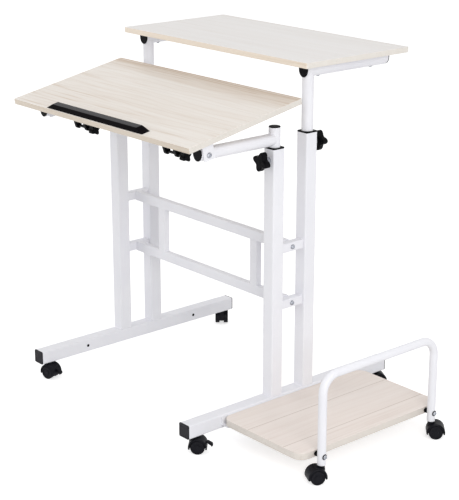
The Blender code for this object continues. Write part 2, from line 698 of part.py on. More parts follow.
shelf_carriage = empty("shelf_carriage", desk, (0.0, COLUMN_Y, SHELF_TUBE_Z))
shelf_y = PANEL_DEPTH / 2 - SHELF_OVERHANG
shelf_z = SHELF_BOTTOM - SHELF_TUBE_Z + PANEL_THICKNESS / 2
panel("monitor_shelf", PANEL_WIDTH, PANEL_DEPTH, PANEL_CORNER, shelf_carriage, (0.0, shelf_y, shelf_z))
shelf_tube_length = SHELF_TUBE_LENGTH - CAP_THICKNESS - GAP
shelf_tube_front = -SHELF_TUBE_OVERHANG + CAP_THICKNESS
for side, sign in SIDES:
    add_object(
        "shelf_tube_" + side,
        drawn_mesh([d_section(), d_section(D_WALL)], shelf_tube_length, ALONG_Y),
        WHITE_STEEL,
        shelf_carriage,
        (sign * SIDE_X, shelf_tube_front + GAP + shelf_tube_length / 2, 0.0),
    )
    end_cap(
        "shelf_tube_cap_" + side,
        d_section(),
        d_section(D_WALL + GAP),
        OUT_FRONT,
        shelf_carriage,
        (sign * SIDE_X, shelf_tube_front, 0.0),
    )
    post_middle = -REAR_POST_LENGTH / 2
    post = add_object(
        "rear_post_" + side,
        drawn_mesh(post_rings, REAR_POST_LENGTH),
        WHITE_STEEL,
        shelf_carriage,
        (sign * SIDE_X, 0.0, post_middle),
    )
    cut(post, drawn_mesh([d_section(-GAP)], 4 * POST_DIAMETER, ALONG_Y, shift=(0.0, 0.0, -post_middle)))


# Case shelf: a panel that lies on the right foot's rail, with a hoop along its outer edge

case_x = CASE_SHELF_INNER + CASE_SHELF_WIDTH / 2
case_z = CASE_SHELF_BOTTOM + CASE_SHELF_THICKNESS / 2
panel(
    "case_shelf",
    CASE_SHELF_WIDTH,
    CASE_SHELF_LENGTH,
    CASE_SHELF_CORNER,
    desk,
    (case_x, CASE_SHELF_SETBACK, case_z),
    CASE_SHELF_THICKNESS,
)


def hoop_path(leg_low):
    """Leg up, bend, top run, bend and leg down, in the plane of Y and Z."""
    half = CASE_BOLT_PITCH / 2
    top = HOOP_HEIGHT - HOOP_DIAMETER / 2
    near = arc(HOOP_BEND, 180, 90, 6, (HOOP_BEND - half, top - HOOP_BEND))
    far = arc(HOOP_BEND, 90, 0, 6, (half - HOOP_BEND, top - HOOP_BEND))
    return [(-half, leg_low)] + near + far + [(half, leg_low)]


def bent_rod_mesh(path, diameter):
    curve = bpy.data.curves.new("bend", "CURVE")
    curve.dimensions = "3D"
    curve.bevel_depth = diameter / 2
    curve.bevel_resolution = 5
    curve.use_fill_caps = True
    spline = curve.splines.new("POLY")
    spline.points.add(len(path) - 1)
    for point, (y, z) in zip(spline.points, path):
        point.co = (0.0, y, z, 1.0)
    return mesh_of_curve(curve)


hoop_mesh = bent_rod_mesh(hoop_path(FOOT_HEIGHT), HOOP_DIAMETER)
hoop = add_object("case_hoop", hoop_mesh, WHITE_STEEL, desk, (HOOP_X, 0.0, 0.0))
cut(hoop, bent_rod_mesh(hoop_path(FOOT_HEIGHT + HOOP_SOCKET_DEPTH), HOOP_DIAMETER - 2 * HOOP_WALL))
for end, toward in ENDS:
    leg_y = toward * CASE_BOLT_PITCH / 2
    socket_centre = (0.0, leg_y, FOOT_HEIGHT)
    cut(hoop, rod_mesh(STEM_DIAMETER + HOLE_CLEARANCE, 4 * HOOP_SOCKET_DEPTH, ALONG_Z, socket_centre))
    spacer_start = -HOOP_DIAMETER / 2 + 2 * HOOP_WALL
    spacer_length = HOOP_SPACER - GAP + 2 * HOOP_WALL
    spacer_centre = (spacer_start - spacer_length / 2, leg_y, case_z)
    weld_on(hoop, rod_mesh(HOOP_SPACER_DIAMETER, spacer_length, ALONG_X, spacer_centre, 16))


# Castors: a swivelling hood with its stem, over twin wheels on one axle

AXLE_Z = WHEEL_DIAMETER / 2
WHEEL_INNER = HOOD_WEB / 2 + WHEEL_SIDE_PLAY
WHEEL_OUTER = WHEEL_INNER + WHEEL_THICKNESS
HOOD_WIDTH = 2 * WHEEL_OUTER
BOSS_TOP = FOOT_HEIGHT - GAP


def wheel_pair_mesh():
    """Twin wheels on their axle, turned in one profile."""
    rim = WHEEL_DIAMETER / 2
    half = [
        (0.0, WHEEL_OUTER),
        (rim - WHEEL_ROUND, WHEEL_OUTER),
        (rim, WHEEL_OUTER - WHEEL_ROUND),
        (rim, WHEEL_INNER),
        (AXLE_DIAMETER / 2, WHEEL_INNER),
    ]
    lower = [(radius, -height) for radius, height in reversed(half)]
    return turned_mesh(half + lower, FACE_FRONT, ROUND_SIDES)


def castor_hood(name, parent):
    """The hood in its own frame: stem over the origin, axle ahead along +X."""
    axle = (CASTOR_TRAIL, AXLE_Z)
    outline = arc(HOOD_DIAMETER / 2, -HOOD_LIP_ANGLE, 180 + HOOD_LIP_ANGLE, 14, axle)
    solid = drawn_mesh([outline], HOOD_WIDTH, ALONG_Y)
    hood = add_object(name, solid, BLACK_PLASTIC, parent, (0.0, 0.0, 0.0))
    boss_centre = (0.0, 0.0, (AXLE_Z + BOSS_TOP) / 2)
    weld_on(hood, rod_mesh(STEM_BOSS_DIAMETER, BOSS_TOP - AXLE_Z, ALONG_Z, boss_centre, 16))
    for face in (-1, 1):
        well_centre = (CASTOR_TRAIL, face * (HOOD_WEB + HOOD_WIDTH) / 2, AXLE_Z)
        well_diameter = HOOD_DIAMETER - 2 * HOOD_SHELL
        cut(hood, rod_mesh(well_diameter, HOOD_WIDTH, ALONG_Y, well_centre, ROUND_SIDES))
    cut(hood, rod_mesh(AXLE_DIAMETER + HOLE_CLEARANCE, 2 * HOOD_WEB, ALONG_Y, (CASTOR_TRAIL, 0.0, AXLE_Z)))
    stem_length = STEM_GRIP + GAP + WELD_OVERLAP
    stem_centre = (0.0, 0.0, BOSS_TOP - WELD_OVERLAP + stem_length / 2)
    return weld_on(hood, rod_mesh(STEM_DIAMETER, stem_length, ALONG_Z, stem_centre))


def brake_lever(name, parent):
    """A small pedal that hinges on the hood; it turns about the parent."""
    reach = BRAKE_PIN_RADIUS + BRAKE_LENGTH
    pedal = arc(BRAKE_PIN_RADIUS, 60, 270, 8) + [
        (reach - BRAKE_THICKNESS, -BRAKE_PIN_RADIUS),
        (reach, -BRAKE_PIN_RADIUS - BRAKE_THICKNESS / 2),
        (reach, BRAKE_THICKNESS - BRAKE_PIN_RADIUS),
        (reach - BRAKE_THICKNESS, BRAKE_THICKNESS),
    ]
    solid = drawn_mesh([pedal], BRAKE_WIDTH, ALONG_Y)
    solid.transform(Matrix.Rotation(radians(BRAKE_SLOPE), 4, "Y"))
    return add_object(name, solid, BLACK_PLASTIC, parent, (0.0, 0.0, 0.0))


outer_y = CASE_BOLT_PITCH / 2
castor_places = {
    "front_left": (-SIDE_X, -CASTOR_Y),
    "front_right": (SIDE_X, -CASTOR_Y),
    "rear_left": (-SIDE_X, CASTOR_Y),
    "rear_right": (SIDE_X, CASTOR_Y),
    "outer_front": (HOOP_X, -outer_y),
    "outer_rear": (HOOP_X, outer_y),
}
for corner, (x, y) in castor_places.items():
    heading = radians(CASTOR_HEADINGS[corner])
    swivel = empty(f"castor_{corner}_swivel", desk, (x, y, 0.0), (0.0, 0.0, heading))
    castor_hood(f"castor_hood_{corner}", swivel)
    axle = empty(f"castor_{corner}_axle", swivel, (CASTOR_TRAIL, 0.0, AXLE_Z))
    add_object(f"castor_wheels_{corner}", wheel_pair_mesh(), WHEEL_RUBBER, axle, (0.0, 0.0, 0.0))
    if corner in BRAKED_CASTORS:
        pin_reach = HOOD_DIAMETER / 2 + BRAKE_PIN_RADIUS + GAP
        pin_angle = radians(BRAKE_ANGLE)
        pin = (CASTOR_TRAIL + pin_reach * cos(pin_angle), 0.0, AXLE_Z + pin_reach * sin(pin_angle))
        brake_axis = empty(f"brake_{corner}_axis", swivel, pin)
        brake_lever(f"brake_lever_{corner}", brake_axis)


# Stand the finished desk centred over the origin

def centre_over_origin(root):
    bpy.context.view_layer.update()
    depsgraph = bpy.context.evaluated_depsgraph_get()
    corners = []
    for obj in PARTS.objects:
        if obj.type == "MESH":
            solid = obj.evaluated_get(depsgraph)
            corners += [solid.matrix_world @ vertex.co for vertex in solid.data.vertices]
    for axis in (0, 1):
        low = min(corner[axis] for corner in corners)
        high = max(corner[axis] for corner in corners)
        root.location[axis] = -(low + high) / 2


centre_over_origin(desk)
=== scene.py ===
import json
from math import atan2, cos, pi, radians
import bmesh
import bpy
from bmesh.types import BMEdge, BMVert
from mathutils import Color, Matrix, Vector


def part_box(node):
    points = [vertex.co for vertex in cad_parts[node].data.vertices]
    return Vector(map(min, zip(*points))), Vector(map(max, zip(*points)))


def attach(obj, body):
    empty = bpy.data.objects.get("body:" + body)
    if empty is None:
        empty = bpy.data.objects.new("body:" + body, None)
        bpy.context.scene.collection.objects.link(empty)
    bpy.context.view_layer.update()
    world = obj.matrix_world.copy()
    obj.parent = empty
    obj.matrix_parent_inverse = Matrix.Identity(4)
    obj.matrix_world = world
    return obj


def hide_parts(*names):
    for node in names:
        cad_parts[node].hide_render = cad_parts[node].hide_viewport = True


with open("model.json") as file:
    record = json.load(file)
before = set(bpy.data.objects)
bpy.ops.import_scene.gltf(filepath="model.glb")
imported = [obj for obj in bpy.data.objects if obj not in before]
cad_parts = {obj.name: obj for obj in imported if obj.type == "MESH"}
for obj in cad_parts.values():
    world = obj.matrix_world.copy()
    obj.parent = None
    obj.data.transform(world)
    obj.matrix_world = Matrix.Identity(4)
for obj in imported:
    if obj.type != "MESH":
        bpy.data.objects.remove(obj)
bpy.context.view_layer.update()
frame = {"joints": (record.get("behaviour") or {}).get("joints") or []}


# Feet: two square steel tubes with rounded corners that lie under the sides of the desk.
# They are sawn to length, drilled for the bolts of a case shelf, which can go on either foot,
# and powder-coated white.

SIDES = {"left": -1, "right": 1}
ENDS = {"front": -1, "rear": 1}
CORNERS = [(end, side) for side in SIDES for end in ENDS]
X, Y, Z = range(3)
TUBE_CORNER = 0.004
TUBE_WALL = 0.0015
CASE_BOLT_PITCH = 0.420
CASE_BOLT_HOLE = 0.008
DRILL_REACH = 0.03
SAWN_EDGE = 0.0004
TURNED_EDGE = 0.0003
COAT_WHITE = (240, 240, 244)
COAT_SHADE = (234, 234, 240)
COAT_RELIEF = 0.00006
SHARP_ANGLE = 38.0
NEAR = 0.0001
at = Matrix.Translation


def tone(red, green, blue):
    """A screen colour, 0 to 255, as the linear colour that a shader takes."""
    return (*Color((red / 255, green / 255, blue / 255)).from_srgb_to_scene_linear(), 1.0)


def add_node(tree, kind, sockets=None, **settings):
    """A shader node; each socket takes a value, or the output that feeds it."""
    made = tree.nodes.new("ShaderNode" + kind)
    for name, value in settings.items():
        setattr(made, name, value)
    for name, value in (sockets or {}).items():
        if isinstance(value, bpy.types.NodeSocket):
            tree.links.new(value, made.inputs[name])
        else:
            made.inputs[name].default_value = value
    return made


def reckon(tree, operation, first, second=0.0):
    return add_node(tree, "Math", {0: first, 1: second}, operation=operation).outputs[0]


def ranged(tree, value, low, high, to_low=0.0, to_high=1.0):
    sockets = {"Value": value, "From Min": low, "From Max": high, "To Min": to_low, "To Max": to_high}
    return add_node(tree, "MapRange", sockets).outputs["Result"]


def blended(tree, share, first, second):
    return add_node(tree, "Mix", {0: share, 6: first, 7: second}, data_type="RGBA").outputs[2]


def stretched(tree, vector, scale):
    return add_node(tree, "VectorMath", {0: vector, 1: scale}, operation="MULTIPLY").outputs[0]


def noise(tree, vector, scale, detail=2.0, distortion=0.0):
    sockets = {"Vector": vector, "Scale": scale, "Detail": detail, "Distortion": distortion}
    return add_node(tree, "TexNoise", sockets).outputs["Fac"]


def effect(name, inputs, outputs):
    """An empty node group with its sockets; inputs give name, kind and starting value."""
    group = bpy.data.node_groups.new(name, "ShaderNodeTree")
    for socket, kind, value in inputs:
        made = group.interface.new_socket(name=socket, in_out="INPUT", socket_type="NodeSocket" + kind)
        if value is not None:
            made.default_value = value
    for socket, kind in outputs:
        group.interface.new_socket(name=socket, in_out="OUTPUT", socket_type="NodeSocket" + kind)
    return group, group.nodes.new("NodeGroupInput").outputs


def skin_effect(name, **values):
    """A node group for a surface: scales come in, and height, roughness and tint go out."""
    inputs = [("Vector", "Vector", None)]
    inputs += [(socket.title(), "Float", value) for socket, value in values.items()]
    return effect(name, inputs, [(socket, "Float") for socket in ("Height", "Roughness", "Tint")])


def give(group, **results):
    """Join results to the outputs of a node group."""
    put_out = group.nodes.new("NodeGroupOutput").inputs
    for socket, result in results.items():
        group.links.new(result, put_out[socket])


def finish(name):
    """A material with its node tree, its shader and the object's own coordinates."""
    material = bpy.data.materials.new(name)
    material.use_nodes = True
    tree = material.node_tree
    return material, tree, tree.nodes["Principled BSDF"], add_node(tree, "TexCoord").outputs["Object"]


def feed(tree, shader, colour, roughness, height, depth):
    """Join colour, roughness and a relief of that depth in metres to the shader."""
    tree.links.new(colour, shader.inputs["Base Color"])
    tree.links.new(roughness, shader.inputs["Roughness"])
    relief = add_node(tree, "Bump", {"Height": height, "Distance": depth, "Strength": 1.0})
    tree.links.new(relief.outputs["Normal"], shader.inputs["Normal"])


def surface(name, skin, plain, tinted, depth, metallic=0.0, shine=0.5, **values):
    """A finish whose tint, roughness and relief come from a skin effect."""
    material, tree, shader, place = finish(name)
    shader.inputs["Metallic"].default_value = metallic
    shader.inputs["Specular IOR Level"].default_value = shine
    sockets = {"Vector": place} | {socket.title(): value for socket, value in values.items()}
    made = add_node(tree, "Group", sockets, node_tree=skin).outputs
    colour = blended(tree, made["Tint"], tone(*plain), tone(*tinted))
    feed(tree, shader, colour, made["Roughness"], made["Height"], depth)
    return material


def orange_peel():
    """The slight ripple that a baked powder coat has."""
    group, given = skin_effect("orange_peel", ripple=420.0)
    ripple = noise(group, given["Vector"], given["Ripple"], 3.0)
    cloud = noise(group, given["Vector"], 7.0, 3.0)
    speck = noise(group, given["Vector"], 2600.0, 1.0)
    height = reckon(group, "ADD", ripple, reckon(group, "MULTIPLY", speck, 0.25))
    roughness = ranged(group, cloud, 0.3, 0.7, 0.34, 0.46)
    give(group, Height=height, Roughness=roughness, Tint=ranged(group, cloud, 0.25, 0.75))
    return group


def only(geometry, kind):
    """The vertices, or the edges, among what an operator returns."""
    return [made for made in geometry if isinstance(made, kind)]


def edges_along(solid, axis):
    """The edges that run along an axis."""
    runs = [(edge, edge.verts[1].co - edge.verts[0].co) for edge in solid.edges]
    return [edge for edge, run in runs if abs(run[axis]) > 0.999 * run.length]


def edges_at(solid, axis, level):
    """The edges that lie across an axis, at one level of it."""
    return [e for e in solid.edges if all(abs(v.co[axis] - level) < 0.00001 for v in e.verts)]


def rounded(solid, edges, radius, segments=4):
    sizes = {"offset": radius, "segments": segments, "profile": 0.5}
    bmesh.ops.bevel(solid, geom=edges, affect="EDGES", material=-1, **sizes)
    solid.normal_update()
    return solid


def bar(low, high, axis=None, corner=0.0, segments=5):
    """A cuboid between two corners; the edges along an axis can be rounded."""
    low, high = Vector(low), Vector(high)
    place = at((low + high) / 2) @ Matrix.Diagonal((*(high - low), 1.0))
    solid = bmesh.new()
    bmesh.ops.create_cube(solid, size=1.0, matrix=place)
    return solid if axis is None else rounded(solid, edges_along(solid, axis), corner, segments)


def faces_out(solid, axis, sign=0):
    """The faces that look along an axis, both ways or one way."""
    solid.normal_update()
    looks = [(face, face.normal[axis]) for face in solid.faces]
    return [face for face, look in looks if (look * sign if sign else abs(look)) > 0.99]


def tube_bar(low, high, axis, corner, edge=SAWN_EDGE):
    """A bar with the rounded corners of a drawn tube, and its sawn ends broken."""
    solid = bar(low, high, axis, corner)
    ends = edges_at(solid, axis, low[axis]) + edges_at(solid, axis, high[axis])
    return rounded(solid, ends, edge, 2)


def turned(profile, place=Matrix.Identity(4), steps=40):
    """A profile of radius and height, turned about the Z axis of its place."""
    solid = bmesh.new()
    points = [solid.verts.new((radius, 0.0, height)) for radius, height in profile]
    lines = [solid.edges.new(pair) for pair in zip(points, points[1:])]
    about = {"cent": (0.0, 0.0, 0.0), "axis": (0.0, 0.0, 1.0), "angle": 2 * pi}
    bmesh.ops.spin(solid, geom=points + lines, steps=steps, use_merge=True, **about)
    bmesh.ops.remove_doubles(solid, verts=solid.verts, dist=0.000001)
    bmesh.ops.recalc_face_normals(solid, faces=solid.faces)
    bmesh.ops.transform(solid, matrix=place, verts=solid.verts)
    return solid


def rod(radius, low, high, place=Matrix.Identity(4), edge=TURNED_EDGE, steps=40):
    """A round bar along the Z axis of its place, its rims broken by a small chamfer."""
    rims = [(0.0, high), (radius - edge, high), (radius, high - edge)]
    rims += [(radius, low + edge), (radius - edge, low), (0.0, low)]
    return turned(rims, place, steps)


def mesh_of(name, *solids):
    """One mesh of several solids, which are used up."""
    whole = bmesh.new()
    for solid in solids:
        part = bpy.data.meshes.new("part")
        solid.to_mesh(part)
        whole.from_mesh(part)
        bpy.data.meshes.remove(part)
        solid.free()
    mesh = bpy.data.meshes.new(name)
    whole.to_mesh(mesh)
    whole.free()
    return mesh


def stood(name, data):
    """An object that stands in the scene."""
    made = bpy.data.objects.new(name, data)
    bpy.context.scene.collection.objects.link(made)
    return made


def bored(solid, *tools):
    """A solid with others cut out of it."""
    blank = stood("blank", mesh_of("blank", solid))
    cutters = [stood("cutter", mesh_of("cutter", tool)) for tool in tools]
    for cutter in cutters:
        cut = blank.modifiers.new("bore", "BOOLEAN")
        cut.solver = "EXACT"
        cut.object = cutter
    seen = blank.evaluated_get(bpy.context.evaluated_depsgraph_get())
    result = bmesh.new()
    result.from_mesh(seen.to_mesh())
    seen.to_mesh_clear()
    for made in [blank] + cutters:
        old = made.data
        bpy.data.objects.remove(made)
        bpy.data.meshes.remove(old)
    result.normal_update()
    return result


def piece(name, solids, finishes, body, slot, *nodes):
    """One piece of the object: its mesh, finishes, the body it rides on and the nodes it shows."""
    mesh = mesh_of(name, *solids)
    for material in finishes:
        mesh.materials.append(material)
    mesh.shade_smooth()
    mesh.set_sharp_from_angle(angle=radians(SHARP_ANGLE))
    made = stood(name, mesh)
    shading = made.modifiers.new("flat_faces", "WEIGHTED_NORMAL")
    shading.keep_sharp = True
    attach(made, body)
    if nodes:
        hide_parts(*nodes)


def coated(name, solids, body, *nodes):
    piece(name, solids, [WHITE_COAT], body, "white_powder_coat", *nodes)


FACE_FRONT = Matrix.Rotation(pi / 2, 4, "X")
FACE_BACK = Matrix.Rotation(-pi / 2, 4, "X")
FACE_RIGHT = Matrix.Rotation(pi / 2, 4, "Y")
FACE_LEFT = Matrix.Rotation(-pi / 2, 4, "Y")
FACE_DOWN = Matrix.Rotation(pi, 4, "X")
FACING = {"front": FACE_FRONT, "rear": FACE_BACK, "left": FACE_LEFT, "right": FACE_RIGHT}
WHITE_COAT = surface("white_powder_coat", orange_peel(), COAT_WHITE, COAT_SHADE, COAT_RELIEF)
foot_box = {}
for side in SIDES:
    foot_low, foot_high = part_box("foot_" + side)
    cap_low, cap_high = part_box("foot_cap_front_" + side)
    low = Vector((cap_low.x, foot_low.y, cap_low.z))
    high = Vector((cap_high.x, foot_high.y, cap_high.z))
    foot_box[side] = (low, high)
    tube = bar(low, high, Y, TUBE_CORNER)
    bmesh.ops.delete(tube, geom=faces_out(tube, Y), context="FACES_ONLY")
    bmesh.ops.solidify(tube, geom=tube.faces[:], thickness=TUBE_WALL)
    reach = DRILL_REACH if side == "left" else 0.0
    drills = []
    for toward in ENDS.values():
        hole = (low + high) / 2 + Vector((0.0, toward * CASE_BOLT_PITCH / 2, 0.0))
        drills.append(rod(CASE_BOLT_HOLE / 2, -DRILL_REACH, reach, at(hole) @ FACE_RIGHT))
    coated("foot_tube_" + side, [bored(tube, *drills)], "frame", "foot_" + side)


# Case rail: an angle folded from steel sheet, welded along the right foot and coated with it.
# Its flange carries the inner edge of the case shelf.

RAIL_SHEET = 0.0025
RAIL_HEIGHT = 0.023
RAIL_FLANGE = 0.030
RAIL_FOLD = 0.0008
RAIL_GAP = 0.0002
SHELF_GAP = 0.0003


def prism(outline, along):
    """A flat outline of points, drawn out along a vector."""
    solid = bmesh.new()
    face = solid.faces.new([solid.verts.new(point) for point in outline])
    drawn = bmesh.ops.extrude_face_region(solid, geom=[face])["geom"]
    bmesh.ops.translate(solid, verts=only(drawn, BMVert), vec=along)
    bmesh.ops.recalc_face_normals(solid, faces=solid.faces)
    return solid


shelf_low, shelf_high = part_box("case_shelf")
foot_low, foot_high = foot_box["right"]
rail_x = foot_high.x - RAIL_GAP
flange_top = shelf_low.z - SHELF_GAP
corners = [
    (rail_x, flange_top - RAIL_SHEET),
    (foot_high.x + RAIL_FLANGE, flange_top - RAIL_SHEET),
    (foot_high.x + RAIL_FLANGE, flange_top),
    (foot_high.x + RAIL_SHEET, flange_top),
    (foot_high.x + RAIL_SHEET, flange_top - RAIL_SHEET + RAIL_HEIGHT),
    (rail_x, flange_top - RAIL_SHEET + RAIL_HEIGHT),
]
rail = prism([(x, shelf_low.y, z) for x, z in corners], (0.0, shelf_high.y - shelf_low.y, 0.0))
rounded(rail, edges_along(rail, Y), RAIL_FOLD, 3)
coated("case_rail", [rail], "frame")


# Foot caps: moulded black plugs, pressed into the ends of the foot tubes.
# Each shows a square plate with a shallow panel sunk in it. Small black buttons close the bolt
# holes of the left foot.

CAP_PLATE = 0.003
CAP_RIM = 0.0042
CAP_SINK = 0.0006
PLASTIC_BLACK = (6, 6, 9)
PLASTIC_WORN = (15, 15, 19)
# The caps' colours are a lighter grey than the other black plastic: black plastic with a painted sheen
# in its colour.
CAP_BLACK_WITH_PAINTED_SHEEN = (34, 33, 38)
CAP_WORN_WITH_PAINTED_SHEEN = (50, 49, 54)
CAP_EDGE = 0.0008
BUTTON_RADIUS = 0.0045
BUTTON_DEPTH = 0.004
BUTTON_HEAD = 0.0006
BUTTON_EDGE = 0.0004
MOULD_GRAIN = 1800.0
MOULD_RELIEF = 0.00005


def spark_grain():
    """The fine grain that a spark-eroded mould leaves on plastic."""
    group, given = skin_effect("spark_grain", grain=MOULD_GRAIN, matt=1.0)
    grain = noise(group, given["Vector"], given["Grain"], 2.0)
    cloud = noise(group, given["Vector"], 45.0, 3.0)
    matt = reckon(group, "MULTIPLY", ranged(group, cloud, 0.3, 0.7, 0.36, 0.52), given["Matt"])
    tint = reckon(group, "MULTIPLY", ranged(group, cloud, 0.3, 0.75), grain)
    give(group, Height=grain, Roughness=matt, Tint=tint)
    return group


SPARK_GRAIN = spark_grain()


def moulded_plastic(name, plain, worn, matt, shine, grain=MOULD_GRAIN):
    return surface(name, SPARK_GRAIN, plain, worn, MOULD_RELIEF, shine=shine, grain=grain, matt=matt)


def moulded(name, solids, body, *nodes, plastic=None):
    piece(name, solids, [plastic or BLACK_PLASTIC], body, "black_plastic", *nodes)


BLACK_PLASTIC = moulded_plastic("black_plastic", PLASTIC_BLACK, PLASTIC_WORN, 1.0, 0.06)
# The caps' plastic carries that painted sheen in its base colour.
CAP_PLASTIC_PAINTED_SHEEN = moulded_plastic("cap_plastic", CAP_BLACK_WITH_PAINTED_SHEEN, CAP_WORN_WITH_PAINTED_SHEEN, 1.2, 0.14)
for end, side in CORNERS:
    node = f"foot_cap_{end}_{side}"
    low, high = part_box(node)
    outer = low.y if end == "front" else high.y
    near, far = sorted((outer, outer - ENDS[end] * CAP_PLATE))
    plate = bar((low.x, near, low.z), (high.x, far, high.z), Y, TUBE_CORNER)
    rounded(plate, edges_at(plate, Y, outer), CAP_EDGE, 3)
    face = faces_out(plate, Y, ENDS[end])
    bmesh.ops.inset_region(plate, faces=face, thickness=CAP_RIM)
    bmesh.ops.inset_region(plate, faces=face, thickness=CAP_SINK, depth=-CAP_SINK)
    moulded(f"foot_plug_{end}_{side}", [plate], "frame", node, plastic=CAP_PLASTIC_PAINTED_SHEEN)
low, high = foot_box["left"]
buttons = []
for toward in ENDS.values():
    hole_y = (low.y + high.y) / 2 + toward * CASE_BOLT_PITCH / 2
    for x, facing in ((low.x, FACE_LEFT), (high.x, FACE_RIGHT)):
        place = at((x, hole_y, (low.z + high.z) / 2)) @ facing
        buttons.append(rod(BUTTON_RADIUS, -BUTTON_DEPTH, BUTTON_HEAD, place, BUTTON_EDGE))
moulded("hole_plugs", buttons, "frame")


# Columns: two square tubes stand on each foot, welded in front and behind. Each front column has
# two short bridge tubes welded to it that reach back to the rear one and take the cross frame's
# bolts. Beads of weld show through the white coat.

BRIDGE_WIDTH = 0.025
BRIDGE_HEIGHT = 0.026
RAIL_TUBE_CORNER = 0.003
RAIL_TUBE_HEIGHT = 0.030
JOINT_GAP = 0.0003
BEAD_RADIUS = 0.0018
BEAD_STEP = 0.0022
COLUMN_BEAD = 0.030
BRIDGE_BEAD = 0.018
BRIDGE_BEAD_RADIUS = 0.0014
BEAD_INSET = 0.004
BEAD_END = 0.55
BEAD_RIPPLE = 0.14


def weld_bead(start, end, radius=BEAD_RADIUS):
    """A bead of weld between two points, rippled as the torch has laid it."""
    start, end = Vector(start), Vector(end)
    run = end - start
    ripples = max(2, int(run.length / BEAD_STEP))
    place = at(start) @ run.to_track_quat("Z", "Y").to_matrix().to_4x4()
    half = at((0.0, 0.0, run.length / 2))
    bead = bmesh.new()
    sizes = {"segments": 10, "radius1": radius, "radius2": radius, "depth": run.length}
    bmesh.ops.create_cone(bead, cap_ends=True, matrix=half, **sizes)
    cuts = 2 * ripples - 1
    bmesh.ops.subdivide_edges(bead, edges=edges_along(bead, Z), cuts=cuts, use_grid_fill=True)
    for point in bead.verts:
        ring = round(point.co.z / run.length * 2 * ripples)
        thin = BEAD_END if ring in (0, 2 * ripples) else 1.0 - BEAD_RIPPLE * (ring % 2)
        point.co.x *= thin
        point.co.y *= thin
    bmesh.ops.transform(bead, matrix=place, verts=bead.verts)
    return bead


frame_low, frame_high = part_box("cross_frame")
bridge_heights = (frame_high.z - RAIL_TUBE_HEIGHT / 2, frame_low.z + RAIL_TUBE_HEIGHT / 2)
column_box = {}
for end, side in CORNERS:
    collar_low, collar_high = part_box(f"column_collar_{end}_{side}")
    column_low, column_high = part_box(f"column_{end}_{side}")
    low = Vector((collar_low.x, collar_low.y, column_low.z))
    high = Vector((collar_high.x, collar_high.y, column_high.z))
    column_box[end, side] = (low, high)
for end, side in CORNERS:
    low, high = column_box[end, side]
    middle = (low.x + high.x) / 2
    solids = [tube_bar(low, high, Z, TUBE_CORNER)]
    bead = COLUMN_BEAD / 2
    for y in (low.y, high.y):
        solids.append(weld_bead((middle - bead, y, low.z), (middle + bead, y, low.z)))
    if end == "front":
        back = column_box["rear", side][0].y - JOINT_GAP
        half, bead = BRIDGE_WIDTH / 2, BRIDGE_BEAD / 2
        for height in bridge_heights:
            bottom, top = height - BRIDGE_HEIGHT / 2, height + BRIDGE_HEIGHT / 2
            bridge_low = Vector((middle - half, high.y - TUBE_WALL, bottom))
            bridge_high = Vector((middle + half, back, top))
            solids.append(tube_bar(bridge_low, bridge_high, Y, RAIL_TUBE_CORNER))
            beads = [((middle - bead, high.y, z), (middle + bead, high.y, z)) for z in (bottom, top)]
            for x in (middle - half, middle + half):
                beads.append(((x, high.y, bottom + BEAD_INSET), (x, high.y, top - BEAD_INSET)))
            solids += [weld_bead(*ends, BRIDGE_BEAD_RADIUS) for ends in beads]
    coated(f"column_tube_{end}_{side}", solids, "frame", f"column_{end}_{side}")


# Bosses: a turned steel nut, zinc-plated, is set against each column below its top.
# The stud of a star knob screws through it on to the post.

BOSS_RADIUS = 0.009
BOSS_LENGTH = 0.012
ZINC_LIGHT = (196, 198, 204)
ZINC_DARK = (150, 153, 161)
PLATE_RELIEF = 0.00003
BOSS_SINK = 0.0005
BOSS_EDGE = 0.0008


def plated_steel():
    """The cloudy, faintly brushed look of zinc plate."""
    group, given = skin_effect("plated_steel", brush=900.0)
    brush = noise(group, stretched(group, given["Vector"], (0.12, 1.0, 1.0)), given["Brush"], 2.0)
    cloud = noise(group, given["Vector"], 160.0, 3.0)
    roughness = ranged(group, brush, 0.3, 0.7, 0.22, 0.40)
    give(group, Height=brush, Roughness=roughness, Tint=ranged(group, cloud, 0.3, 0.7))
    return group


PLATED_STEEL = plated_steel()


def steel_finish(name, light, dark):
    return surface(name, PLATED_STEEL, light, dark, PLATE_RELIEF, metallic=1.0)


def plated(name, solids, body, *nodes):
    piece(name, solids, [ZINC], body, "zinc_plate", *nodes)


ZINC = steel_finish("zinc_plate", ZINC_LIGHT, ZINC_DARK)
joints = {joint["name"]: joint for joint in frame["joints"]}
for end, side in CORNERS:
    low, high = column_box[end, side]
    seat = Vector(joints[f"height_knob_{end}_{side}_turn"]["pos_m"])
    seat.y = low.y if end == "front" else high.y
    boss = rod(BOSS_RADIUS, -BOSS_SINK, BOSS_LENGTH, at(seat) @ FACING[end], BOSS_EDGE)
    plated(f"column_boss_{end}_{side}", [boss], "frame")


# Collars: moulded black bushes in the tops of the columns, in which the posts slide.
# A square lip covers the sawn end of the tube.

POST_RADIUS = 0.016
POST_FACETS = 56
SLIDE_GAP = 0.0003
LIP_EDGE = 0.0009
BORE_REACH = 0.02


def upright(low, high, z=0.0):
    """A place on the upright line through the middle of a box."""
    middle = (low + high) / 2
    return at((middle.x, middle.y, z))


for end, side in CORNERS:
    node = f"column_collar_{end}_{side}"
    low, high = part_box(node)
    seat = column_box[end, side][1].z + JOINT_GAP
    lip = bar((low.x, low.y, seat), high, Z, TUBE_CORNER)
    rounded(lip, edges_at(lip, Z, high.z), LIP_EDGE, 3)
    place = upright(low, high, seat)
    bore = rod(POST_RADIUS + SLIDE_GAP, -BORE_REACH / 2, BORE_REACH, place, 0.0, POST_FACETS)
    moulded(f"slide_collar_{end}_{side}", [bored(lip, bore)], "frame", node)


# Cross frame: two rails and two uprights of small rectangular tube, welded into a ladder and
# coated white. A button-head bolt through each bridge holds it between the side frames.

